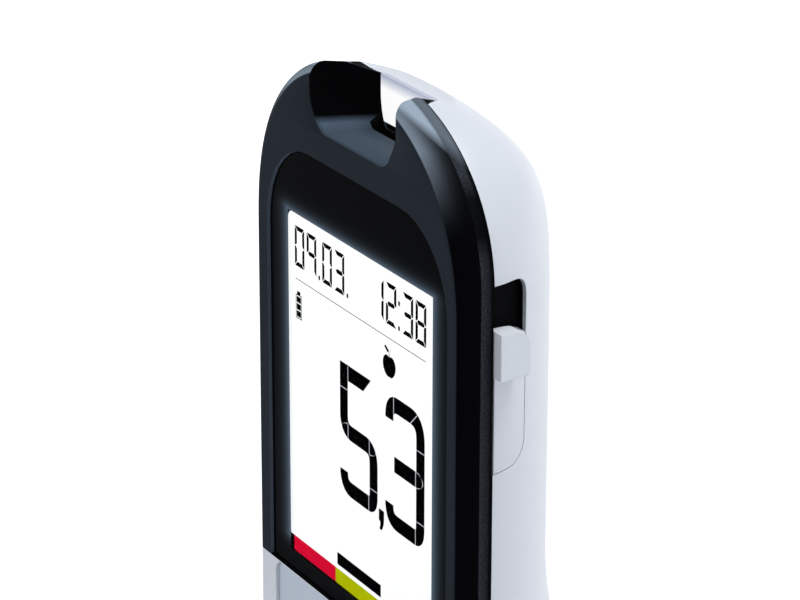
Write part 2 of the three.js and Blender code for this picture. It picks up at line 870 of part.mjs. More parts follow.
function tubeSkin(rings) {
  const sides = rings[0].length;
  const corners = [];
  const triangle = (a, b, c) => corners.push(...a.toArray(), ...b.toArray(), ...c.toArray());
  for (let i = 0; i + 1 < rings.length; i++)
    for (let j = 0; j < sides; j++) {
      const next = (j + 1) % sides;
      triangle(rings[i][j], rings[i + 1][next], rings[i + 1][j]);
      triangle(rings[i][j], rings[i][next], rings[i + 1][next]);
    }
  const last = rings[rings.length - 1];
  for (let j = 1; j + 1 < sides; j++) {
    triangle(rings[0][0], rings[0][j + 1], rings[0][j]);
    triangle(last[0], last[j], last[j + 1]);
  }
  const geometry = new THREE.BufferGeometry();
  geometry.setAttribute("position", new THREE.Float32BufferAttribute(corners, 3));
  return geometry;
}

const ejectorSpringFoot = armTop + shell.gap;
const ejectorSpringTop = ejectorSpringFoot + ejectorSpring.length;

function springRibSolid() {
  const z0 = ejectorSpringTop + shell.gap;
  const rib = box(
    ejectorSpringX - springRib.halfWidth,
    far,
    armMiddle - springRib.halfDepth,
    armMiddle + springRib.halfDepth,
    z0,
    z0 + springRib.height,
  );
  return rib.intersect(outerCase);
}

// The meter's electronics.
function mainBoard() {
  const holes = [-screwX, screwX].map((x) =>
    depthBar(x, screwHeight, screws.boardHoleRadius, 0, far, screws.sides),
  );
  const outline = roundedOutline(boardHalfWidth, plugTop + shell.gap, boardTop, board.corner, board.corner / 4);
  return cut(plate(outline, board.front, boardBack), ...holes);
}

function chip(size, thickness, z) {
  const y0 = boardBack + shell.gap;
  return box(-size / 2, size / 2, y0, y0 + thickness, z - size / 2, z + size / 2);
}

function coinCell(index) {
  const y0 = cells.front + index * (cells.thickness + shell.gap);
  const rimFront = y0 + cells.thickness - cells.rimStep * 3;
  return join(
    depthBar(0, cellsHeight, cells.radius, y0 + cells.rimStep, rimFront),
    depthBar(0, cellsHeight, cells.radius - cells.rim, y0, y0 + cells.thickness),
  );
}

function minusContact() {
  const half = cells.minusSize / 2;
  const y1 = cells.front - shell.gap;
  const strap = box(-half, half, y1 - cells.contactThickness, y1, cellsHeight - half, cellsHeight + half);
  return cut(strap, box(-half / 2, half / 2, 0, far, cellsHeight - half / 2, cellsHeight + half / 2));
}

function plusContact() {
  const x0 = cells.radius + shell.gap;
  const y0 = cells.front + cells.rimStep;
  return box(
    x0,
    x0 + cells.contactThickness,
    y0,
    y0 + cells.plusWidth,
    cellsHeight - cells.plusHeight / 2,
    cellsHeight + cells.plusHeight / 2,
  );
}

const doorOutline = (grow) =>
  roundedOutline(
    cells.radius + door.overlap + grow,
    cellsHeight - cells.radius - door.endOverlap - grow,
    cellsHeight + cells.radius + door.endOverlap + grow,
    door.corner,
  );
const doorTool = (grow) => plate(doorOutline(grow), cells.front + cells.thickness + shell.gap, far);

// The plug that joins the meter to a computer, under the lancing unit.
const plugFront = board.front + board.thickness / 2 - plug.thickness / 2;
const plugHole = () =>
  box(
    -plug.halfWidth - shell.gap,
    plug.halfWidth + shell.gap,
    plugFront - shell.gap,
    plugFront + plug.thickness + shell.gap,
    lancingCeiling - shell.gap,
    meterFloor + shell.gap,
  );

function plugShell() {
  const outer = box(-plug.halfWidth, plug.halfWidth, plugFront, plugFront + plug.thickness, plugFoot, plugTop);
  return outer.subtract(
    box(
      -plug.halfWidth + plug.sheet,
      plug.halfWidth - plug.sheet,
      plugFront + plug.sheet,
      plugFront + plug.thickness - plug.sheet,
      plugFoot - shell.overrun,
      plugTop + shell.overrun,
    ),
  );
}

const tongueHalfWidth = plug.halfWidth - plug.sheet - shell.gap;
const tongueBack = plugFront + plug.thickness - plug.sheet - shell.gap;
const tongueFront = tongueBack - plug.tongueThickness;
const tongueFoot = plugFoot + plug.tongueInset;

function plugTongue() {
  return box(-tongueHalfWidth, tongueHalfWidth, tongueFront, tongueBack, tongueFoot, plugTop - plug.sheet);
}

function plugContact(index) {
  const x = (index - (plug.contactCount - 1) / 2) * plug.contactPitch;
  const y1 = tongueFront - shell.gap;
  const z0 = tongueFoot + plug.tongueInset;
  const half = plug.contactWidth / 2;
  return box(x - half, x + half, y1 - plug.contactThickness, y1, z0, z0 + plug.contactLength);
}

function rearShell() {
  const doorSpace = doorTool(shell.gap);
  let piece = rearOf(lancingSeam + halfGap, far).add(springRibSolid());
  for (const x of [-screwX, screwX])
    piece = withRearBoss(piece, x, screwHeight, screws.seatDepth, boardBack + shell.gap);
  return cut(piece, linerBlock(shell.gap), sideOpening, doorSpace, plugHole()).subtract(
    slab(-far, rearDepth, 0, far),
  );
}

function batteryDoor() {
  return rearOf(lancingSeam + halfGap, far).intersect(doorTool(0));
}

// The lancing unit: a spring drives the lancet's carrier down and another draws it back.
const axis = { x: 0, y: body.depth / 2 };
const cockerBack = body.depth - cocker.backInset;
const cockerFront = cockerBack - cocker.padThickness;
const lancingBossBack = board.front - shell.gap;

function triggerHole() {
  return plate(
    roundedOutline(
      trigger.halfWidth + shell.gap,
      triggerFoot - shell.gap,
      triggerFoot + trigger.height + shell.gap,
      trigger.corner,
    ),
    -shell.overrun,
    frontDepth,
  );
}

function lancingFrontShell() {
  const bosses = [-lancingScrewX, lancingScrewX].map((x) => frontBoss(x, lancingScrewHeight));
  return cut(
    join(frontOf(capSeam + halfGap, lancingSeam - halfGap), ...bosses),
    triggerHole(),
    plugHole(),
  );
}

function lancingRearShell() {
  const cockerBlock = box(
    -cocker.blockHalfWidth,
    cocker.blockHalfWidth,
    body.depth - shell.wall - cocker.blockDepth,
    body.depth - shell.wall / 2,
    lancingFloor - shell.wall / 2,
    bulkheadHeight + shell.wall / 2,
  ).intersect(outerCase);
  const nose = uprightBar(axis.x, axis.y, lancet.noseRadius, lancingFloor - lancet.noseLength, lancingFloor);
  const dialPin = uprightBar(
    dialX,
    axis.y,
    dial.pinRadius,
    lancingFloor - shell.wall / 2,
    dialFoot + dial.thickness + dial.pinRadius,
  );
  let piece = join(
    rearOf(capSeam + halfGap, lancingSeam - halfGap),
    cockerBlock,
    nose,
    dialPin,
  );
  for (const x of [-lancingScrewX, lancingScrewX])
    piece = withRearBoss(piece, x, lancingScrewHeight, screws.lancingSeatDepth, lancingBossBack + shell.gap);
  const recessFoot = padFoot - lancet.firedTravel - shell.gap;
  const recessTop = padFoot + cocker.padHeight + lancet.cockedTravel + shell.gap;
  const recess = box(
    -cocker.padHalfWidth - shell.gap,
    cocker.padHalfWidth + shell.gap,
    body.depth - cocker.recess,
    far,
    recessFoot,
    recessTop,
  );
  const slot = box(
    -cocker.stemHalfWidth - shell.gap,
    cocker.stemHalfWidth + shell.gap,
    axis.y,
    far,
    flangeFoot - lancet.firedTravel - shell.gap,
    carrierTop + lancet.cockedTravel + shell.gap,
  );
  const dialSlot = box(
    dialX,
    far,
    axis.y - dial.radius - shell.gap,
    axis.y + dial.radius + shell.gap,
    dialFoot - shell.gap,
    dialFoot + dial.thickness + shell.gap,
  );
  const bore = uprightBar(axis.x, axis.y, lancet.noseBore, 0, lancingFloor + shell.overrun);
  return cut(piece, recess, slot, dialSlot, bore, plugHole());
}

function lancetCarrier() {
  const tube = uprightBar(axis.x, axis.y, lancet.carrierRadius, carrierFoot, carrierTop);
  const flange = uprightBar(axis.x, axis.y, lancet.flangeRadius, flangeFoot, carrierTop);
  const bore = uprightBar(
    axis.x,
    axis.y,
    lancet.bodyRadius + shell.gap,
    0,
    lancetTop + shell.gap,
  );
  return tube.add(flange).subtract(bore);
}

function lancetBody() {
  const top = lancetTop;
  const neck = lancet.bodyRadius / 2;
  return join(
    uprightBar(axis.x, axis.y, lancet.bodyRadius, lancetFoot + neck, top),
    uprightBar(axis.x, axis.y, neck, lancetFoot, top - neck),
  );
}

const lancetNeedle = () =>
  uprightBar(axis.x, axis.y, lancet.needleRadius, lancetFoot - lancet.needleReach, lancetFoot - shell.gap, screws.sides / 2);

function cockingSlider() {
  const pad = box(
    -cocker.padHalfWidth,
    cocker.padHalfWidth,
    cockerFront,
    cockerBack,
    padFoot,
    padFoot + cocker.padHeight,
  );
  const stem = box(
    -cocker.stemHalfWidth,
    cocker.stemHalfWidth,
    axis.y + lancet.flangeRadius + shell.gap,
    cockerBack - cocker.padThickness / 2,
    flangeFoot,
    carrierTop,
  );
  return pad.add(stem);
}

function triggerButton() {
  const cap = plate(
    roundedOutline(trigger.halfWidth, triggerFoot, triggerFoot + trigger.height, trigger.corner),
    trigger.front,
    trigger.back,
  );
  const y0 = shell.frontWall + shell.gap;
  const z0 = triggerFoot + trigger.corner;
  const z1 = triggerFoot + trigger.height - trigger.corner;
  const finger = (side) => {
    const edges = [side * trigger.fingerInner, side * trigger.fingerOuter].sort((a, b) => a - b);
    return box(edges[0], edges[1], y0 - shell.gap / 2, y0 + trigger.fingerThickness, z0, z1);
  };
  const inWall = box(-far, far, 0, y0, 0, far).subtract(
    box(-trigger.halfWidth, trigger.halfWidth, 0, far, 0, far),
  );
  return join(cap, finger(-1).subtract(inWall), finger(1).subtract(inWall));
}

// The thumb wheel that sets how deep the lancet goes, seen through a slot in the right side.
function depthDial() {
  const outline = new THREE.Shape();
  const points = dial.teeth * 2;
  for (let i = 0; i < points; i++) {
    const radius = dial.radius - (i % 2) * dial.toothDepth;
    const angle = (i / points) * Math.PI * 2;
    const x = dialX + radius * Math.cos(angle);
    const y = axis.y + radius * Math.sin(angle);
    if (i === 0) outline.moveTo(x, y);
    else outline.lineTo(x, y);
  }
  outline.closePath();
  const wheel = new THREE.ExtrudeGeometry(outline, { depth: dial.thickness, bevelEnabled: false });
  wheel.translate(0, 0, dialFoot);
  return solid(wheel).subtract(uprightBar(dialX, axis.y, dial.bore, 0, far, screws.sides));
}

function endCap() {
  const cup = hollowCase.intersect(slab(-shell.overrun, far, 0, capSeam - halfGap));
  return cup.subtract(uprightBar(axis.x, axis.y, lancet.holeRadius, -shell.overrun, shell.wall * 2));
}

// The finished pieces.
const meter = new THREE.Group();

function addPiece(name, look, piece, group = meter) {
  const mesh = new THREE.Mesh(geometryOf(piece), materialOf(look));
  mesh.name = name;
  group.add(mesh);
}

addPiece("front_shell", "darkShell", frontShell());
addPiece("lower_front_housing", "whiteShell", lowerFrontHousing());
addPiece("rear_shell", "whiteShell", rearShell());
addPiece("battery_door", "whiteShell", batteryDoor());
addPiece("key_panel", "palePanel", keyPanel());
for (const [name, height] of Object.entries(keyHeights)) {
  addPiece(name, "thumbGrey", keyCap(height));
  addPiece(name.replace("button", "switch"), "metal", keySwitch(height));
}

addPiece(
  "display_window",
  "glossBlack",
  plate(windowOutline(0, displaySeam + shell.gap), display.windowFront, windowBack),
);
addPiece(
  "lcd_panel",
  "litPanel",
  box(
    -glassHalfWidth,
    glassHalfWidth,
    display.panelFront,
    panelBack,
    panelFoot,
    panelTop,
  ),
);
const backlightFront = panelBack + shell.gap;
addPiece(
  "lcd_backlight",
  "litPanel",
  box(
    -glassHalfWidth,
    glassHalfWidth,
    backlightFront,
    backlightFront + display.backlightThickness,
    panelFoot + display.backlightFootLift,
    panelTop,
  ),
);
addPiece(
  "lcd_connector",
  "softGrey",
  box(
    -glassHalfWidth + display.connectorInset,
    glassHalfWidth - display.connectorInset,
    backlightFront,
    board.front - shell.gap,
    panelFoot + shell.gap,
    panelFoot + shell.gap + display.connectorHeight,
  ),
);

addPiece("strip_light_guide", "litPanel", lightGuide());
addPiece(
  "strip_port_led",
  "litPanel",
  box(
    -led.halfWidth,
    led.halfWidth,
    board.front,
    board.front + led.thickness,
    boardTop + shell.gap,
    boardTop + shell.gap + led.height,
  ),
);
addPiece("strip_connector", "chip", stripConnector());
for (let i = 0; i < strip.contactCount; i++) addPiece(`strip_contact_${i + 1}`, "gold", stripContact(i));

addPiece("main_board", "board", mainBoard());
addPiece("main_chip", "chip", chip(chips.mainSize, chips.mainThickness, displaySeam + chips.mainLift));
addPiece(
  "memory_chip",
  "chip",
  chip(chips.memorySize, chips.memoryThickness, displaySeam - chips.memoryDrop),
);
addPiece("coin_cell_1", "metal", coinCell(0));
addPiece("coin_cell_2", "metal", coinCell(1));
addPiece("battery_contact_minus", "metal", minusContact());
addPiece("battery_contact_plus", "metal", plusContact());

addPiece("ejector_slider", "thumbGrey", ejectorSlider());
addPiece(
  "ejector_spring",
  "metal",
  woundSpring("ejector_spring", ejectorSpring, ejectorSpringX, armMiddle, ejectorSpringFoot, ejectorSpringTop),
);
addPiece("case_screw_left", "metal", screw(-screwX, screwHeight, screws.seatDepth));
addPiece("case_screw_right", "metal", screw(screwX, screwHeight, screws.seatDepth));

addPiece("usb_plug_shell", "metal", plugShell());
addPiece("usb_plug_tongue", "chip", plugTongue());
for (let i = 0; i < plug.contactCount; i++) addPiece(`usb_contact_${i + 1}`, "gold", plugContact(i));

addPiece("lancing_front_shell", "whiteShell", lancingFrontShell());
addPiece("lancing_rear_shell", "whiteShell", lancingRearShell());
addPiece("lancing_screw_left", "metal", screw(-lancingScrewX, lancingScrewHeight, screws.lancingSeatDepth));
addPiece("lancing_screw_right", "metal", screw(lancingScrewX, lancingScrewHeight, screws.lancingSeatDepth));
addPiece("trigger_button", "thumbGrey", triggerButton());
addPiece("depth_dial", "softGrey", depthDial());
addPiece("cocking_slider", "thumbGrey", cockingSlider());
addPiece("lancet_carrier", "palePanel", lancetCarrier());
addPiece("lancet_body", "blue", lancetBody());
addPiece("lancet_needle", "metal", lancetNeedle());
addPiece(
  "drive_spring",
  "metal",
  woundSpring(
    "drive_spring",
    driveSpring,
    axis.x,
    axis.y,
    carrierTop + shell.gap,
    bulkheadHeight - shell.gap,
  ),
);
addPiece(
  "return_spring",
  "metal",
  woundSpring("return_spring", returnSpring, axis.x, axis.y, lancingFloor + shell.gap, flangeFoot - shell.gap),
);
addPiece("end_cap", "whiteShell", endCap());

// The frame: the middle of the foot, with the thumb piece's reach shared between the two sides.
meter.position.set(-slider.thumbReach / 2, -body.depth / 2, 0);
meter.name = "blood_glucose_meter";

export default meter;
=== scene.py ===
"""The looks of a pocket blood glucose meter with a lancing unit plugged onto its foot.

Shapes are worked out in millimetres in the case's own axes: x to the right of the mid-plane, y the
depth behind the front face and z the height above the foot. They go into the shared frame at the
end.
"""

import json
import logging
import math
from dataclasses import dataclass, field
from enum import Enum

import bpy
import numpy as np
from mathutils import Matrix, Vector

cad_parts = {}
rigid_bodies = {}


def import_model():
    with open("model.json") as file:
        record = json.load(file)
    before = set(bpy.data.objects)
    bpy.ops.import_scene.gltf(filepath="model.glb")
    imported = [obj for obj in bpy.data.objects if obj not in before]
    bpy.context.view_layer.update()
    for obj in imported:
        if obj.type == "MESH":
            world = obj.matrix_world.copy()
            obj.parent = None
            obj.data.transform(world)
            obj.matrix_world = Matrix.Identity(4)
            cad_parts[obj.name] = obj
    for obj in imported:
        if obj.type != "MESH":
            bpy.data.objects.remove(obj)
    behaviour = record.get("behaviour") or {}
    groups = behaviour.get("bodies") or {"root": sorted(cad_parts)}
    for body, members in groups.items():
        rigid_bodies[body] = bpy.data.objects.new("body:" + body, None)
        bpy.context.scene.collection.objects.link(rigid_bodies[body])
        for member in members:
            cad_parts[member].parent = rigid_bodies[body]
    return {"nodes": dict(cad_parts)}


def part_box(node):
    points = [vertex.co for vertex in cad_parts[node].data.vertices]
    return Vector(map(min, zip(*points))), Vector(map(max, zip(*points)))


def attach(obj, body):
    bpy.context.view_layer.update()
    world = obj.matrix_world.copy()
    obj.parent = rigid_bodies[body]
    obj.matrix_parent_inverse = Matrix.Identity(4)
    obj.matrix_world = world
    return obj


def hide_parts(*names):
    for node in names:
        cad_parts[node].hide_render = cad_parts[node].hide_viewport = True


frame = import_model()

log = logging.getLogger("glucose_meter")
MILLIMETRE = 0.001
HALF_TURN = math.pi
QUARTER_TURN = math.pi / 2
Colour = tuple[float, float, float]
Pair = tuple[float, float]
Corner = tuple[float, float, float]
Box = tuple[Corner, Corner]
Material = bpy.types.Material
Socket = bpy.types.NodeSocket

# Places in case millimetres that lie clear of the whole case on their side.
BEYOND = 140.0
OPEN_TOP = 130.0
THROUGH = 30.0
AHEAD = -3.0
BEFORE = -1.0

# Where the case's shells part, how high their floors lie, and the depth of the lancing unit's axis.
FRONT_BACK = 2.44
REAR_FRONT = 2.5
METER_FOOT = 46.03
METER_FLOOR = 47.35
MID_DEPTH = 8.0

# The middle part of a noise's range, and the least angle in degrees that reads as an edge.
NOISE_RANGE = (0.3, 0.7)
CREASE = 32.0


def srgb(red: int, green: int, blue: int) -> Colour:
    """Turn a colour of 0 to 255 a channel into the linear values that shaders take.

    Args:
        red: the red channel.
        green: the green channel.
        blue: the blue channel.

    Returns:
        The three linear channels.
    """
    shares = np.array([red, green, blue]) / 255.0
    low = shares / 12.92
    high = ((shares + 0.055) / 1.055) ** 2.4
    linear = np.where(shares <= 0.04045, low, high)
    return (float(linear[0]), float(linear[1]), float(linear[2]))


def smooth(share: np.ndarray) -> np.ndarray:
    """Ease a share between 0 and 1: three squares less two cubes, level at both ends."""
    held = np.clip(share, 0.0, 1.0)
    return held * held * (3.0 - 2.0 * held)


def lower_of(first: np.ndarray, second: np.ndarray, blend: float) -> np.ndarray:
    """Take the lower of two heights with a rounded change from one to the other.

    Half of their sum less the root of their difference squared plus the blend squared.
    """
    return 0.5 * (first + second - np.sqrt((first - second) ** 2 + blend**2))


def upper_of(first: np.ndarray, second: np.ndarray, blend: float) -> np.ndarray:
    """Take the upper of two heights with a rounded change from one to the other."""
    return 0.5 * (first + second + np.sqrt((first - second) ** 2 + blend**2))


def placed(name: str, data: bpy.types.ID) -> bpy.types.Object:
    """Make an object of some data and link it into the scene."""
    thing = bpy.data.objects.new(name, data)
    bpy.context.scene.collection.objects.link(thing)
    return thing


class Op(Enum):
    """How a tool solid acts on a piece."""

    CUT = "DIFFERENCE"
    JOIN = "UNION"
    KEEP = "INTERSECT"


class Solid:
    """A closed mesh in case millimetres that tools can cut, join or bound."""

    def __init__(self, vertices: np.ndarray, faces: list, finish: Material) -> None:
        """Make the mesh and turn its faces outwards.

        Args:
            vertices: the points, one row each.
            faces: lists of corner numbers.
            finish: the material of all its faces.
        """
        mesh = bpy.data.meshes.new("blank")
        mesh.from_pydata(np.asarray(vertices, dtype=float).tolist(), [], faces)
        mesh.materials.append(finish)
        mesh.update()
        self.thing = placed("blank", mesh)
        if self._volume() < 0:
            mesh.flip_normals()

    def _volume(self) -> float:
        """Six times the volume, as the sum over triangles of their corners' triple product."""
        mesh = self.thing.data
        mesh.calc_loop_triangles()
        corners = np.empty(len(mesh.loop_triangles) * 3, dtype=np.int32)
        mesh.loop_triangles.foreach_get("vertices", corners)
        points = self.points()[corners].reshape(-1, 3, 3)
        return float(
            np.einsum("ij,ij->i", points[:, 0], np.cross(points[:, 1], points[:, 2])).sum()
        )

    def points(self) -> np.ndarray:
        """The mesh's points, one row each."""
        mesh = self.thing.data
        values = np.empty(len(mesh.vertices) * 3)
        mesh.vertices.foreach_get("co", values)
        return values.reshape(-1, 3)

    def combined(self, operation: Op, *tools: "Solid") -> "Solid":
        """Apply one or more tools to this solid, which changes; the tools stay as they are.

        Args:
            operation: what the tools do.
            tools: the solids to cut with, join on or bound by.

        Returns:
            This solid.
        """
        for tool in tools:
            change = self.thing.modifiers.new("change", "BOOLEAN")
            change.operation = operation.value
            change.solver = "MANIFOLD"
            change.material_mode = "TRANSFER"
            change.object = tool.thing
        held = bpy.context.evaluated_depsgraph_get()
        held.update()
        made = bpy.data.meshes.new_from_object(self.thing.evaluated_get(held), depsgraph=held)
        old = self.thing.data
        self.thing.modifiers.clear()
        self.thing.data = made
        bpy.data.meshes.remove(old)
        return self

    def cut(self, *tools: "Solid") -> "Solid":
        """Take the tools' space out of this solid."""
        return self.combined(Op.CUT, *tools)

    def join(self, *tools: "Solid") -> "Solid":
        """Make one body of this solid and the tools."""
        return self.combined(Op.JOIN, *tools)

    def keep(self, *tools: "Solid") -> "Solid":
        """Leave only what lies inside every tool."""
        return self.combined(Op.KEEP, *tools)

    def copy(self) -> "Solid":
        """Make a second solid of the same shape."""
        twin = Solid.__new__(Solid)
        twin.thing = self.thing.copy()
        twin.thing.data = self.thing.data.copy()
        bpy.context.scene.collection.objects.link(twin.thing)
        return twin


def skin(rings: np.ndarray, finish: Material) -> Solid:
    """Close a surface over a grid of rings, with rungs from side to side over both ends.

    Each ring runs up one side and back down the other, so point j faces point count - 1 - j.

    Args:
        rings: an array of ring, point and coordinate.
        finish: the material of all faces.

    Returns:
        The closed solid.
    """
    ring_count, count = rings.shape[:2]
    i = np.arange(ring_count - 1)[:, None]
    j = np.arange(count)[None, :]
    after = (j + 1) % count
    sides = np.stack(
        [i * count + j, i * count + after, (i + 1) * count + after, (i + 1) * count + j], axis=-1
    ).reshape(-1, 4)
    j = np.arange(count // 2 - 1)
    mate = count - 1 - j
    first = np.stack([j, mate, mate - 1, j + 1], axis=-1)
    last = np.stack([j, j + 1, mate - 1, mate], axis=-1) + (ring_count - 1) * count
    faces = np.concatenate([sides, first, last]).tolist()
    return Solid(rings.reshape(-1, 3), faces, finish)


def mirrored(right: np.ndarray) -> np.ndarray:
    """Run each ring up its right half and back down the same half with x turned round."""
    return np.concatenate([right, right[:, ::-1] * np.array([-1.0, 1.0, 1.0])], axis=1)


def block(low: Corner, high: Corner, finish: Material) -> Solid:
    """Make a straight-sided tool from its lowest and highest corner."""
    x0, y0, z0 = low
    x1, y1, z1 = high
    ring = np.array([[x1, z0], [x1, z1], [x0, z1], [x0, z0]])
    rings = np.empty((2, 4, 3))
    rings[:, :, 0] = ring[:, 0]
    rings[:, :, 2] = ring[:, 1]
    rings[0, :, 1] = y0
    rings[1, :, 1] = y1
    return skin(rings, finish)


@dataclass(frozen=True)
class Outline:
    """A rounded rectangle in x and z, told by half width, foot, top and corner radii."""

    half_width: float
    foot: float
    top: float
    top_corner: float
    foot_corner: float
    middle: float = 0.0

    def ring(self, inset: float, steps: int = 10) -> np.ndarray:
        """Give the outline as points that run up the right side and down the left.

        Each corner is a quarter circle whose radius loses the inset.

        Args:
            inset: how far the outline is drawn in.
            steps: points round each corner.

        Returns:
            Rows of x and z.
        """
        turn = np.linspace(0.0, QUARTER_TURN, steps)
        low = max(self.foot_corner - inset, 0.01)
        high = max(self.top_corner - inset, 0.01)
        edge = self.half_width - inset
        foot, top = self.foot + inset, self.top - inset
        right = np.concatenate([
            np.stack([edge - low + low * np.sin(turn), foot + low - low * np.cos(turn)], axis=1),
            np.stack([edge - high + high * np.cos(turn), top - high + high * np.sin(turn)], axis=1),
        ])
        left = right[::-1] * np.array([-1.0, 1.0])
        ring = np.concatenate([right, left])
        ring[:, 0] += self.middle
        return ring

    def grown(self, grow: float) -> "Outline":
        """Give the outline with every side moved out, corners too."""
        return Outline(
            self.half_width + grow, self.foot - grow, self.top + grow, self.top_corner + grow,
            self.foot_corner + grow, self.middle,
        )


def plate(
    outline: Outline,
    front: float,
    back: float,
    finish: Material,
    front_round: float = 0.0,
    back_round: float = 0.0,
) -> Solid:
    """Make a plate parallel to the front face, with its front and back edges rolled over.

    Over an edge the inset is the radius times one less the sine of a turn, and the depth from the
    face is the radius times one less its cosine.

    Args:
        outline: the plate's shape.
        front: depth of its front face.
        back: depth of its back face.
        finish: the material.
        front_round: radius of the front edge.
        back_round: radius of the back edge.

    Returns:
        The plate.
    """
    turn = np.linspace(0.0, QUARTER_TURN, 6)
    depths, insets = [front], [0.0]
    if front_round > 0:
        depths = list(front + front_round * (1 - np.cos(turn)))
        insets = list(front_round * (1 - np.sin(turn)))
        depths.insert(0, front)
        insets.insert(0, front_round * 1.6)
    if back_round > 0:
        depths += list(back - back_round * (1 - np.cos(turn[::-1])))
        insets += list(back_round * (1 - np.sin(turn[::-1])))
        depths.append(back)
        insets.append(back_round * 1.6)
    else:
        depths.append(back)
        insets.append(0.0)
    rings = []
    for depth, inset in zip(depths, insets):
        flat = outline.ring(inset)
        rings.append(np.stack([flat[:, 0], np.full(len(flat), depth), flat[:, 1]], axis=1))
    return skin(np.array(rings), finish)


class Axis(Enum):
    """The way a turned piece points."""

    UP = 0
    BACK = 1


def turned(
    profile: np.ndarray,
    centre: Pair,
    axis: Axis,
    finish: Material,
    sides: int = 48,
) -> Solid:
    """Turn a profile of radius and height round an axis: a circle of each radius at its height.

    Args:
        profile: rows of radius and height, from one end to the other.
        centre: where the axis stands, as x and depth, or x and height.
        axis: upright, or running back.
        finish: the material.
        sides: points round.

    Returns:
        The turned solid.
    """
    turn = (np.arange(sides) + 0.5) / sides * 2 * HALF_TURN
    across = np.cos(turn)[None, :] * profile[:, :1]
    along = np.sin(turn)[None, :] * profile[:, :1]
    height = np.broadcast_to(profile[:, 1:2], across.shape)
    if axis is Axis.UP:
        rings = np.stack([centre[0] + across, centre[1] + along, height], axis=-1)
    else:
        rings = np.stack([centre[0] + across, height, centre[1] + along], axis=-1)
    return skin(rings, finish)


def bar(
    radius: float,
    low: float,
    high: float,
    centre: Pair,
    axis: Axis,
    finish: Material,
    sides: int = 48,
) -> Solid:
    """Make a plain round tool of one radius."""
    return turned(np.array([[radius, low], [radius, high]]), centre, axis, finish, sides)


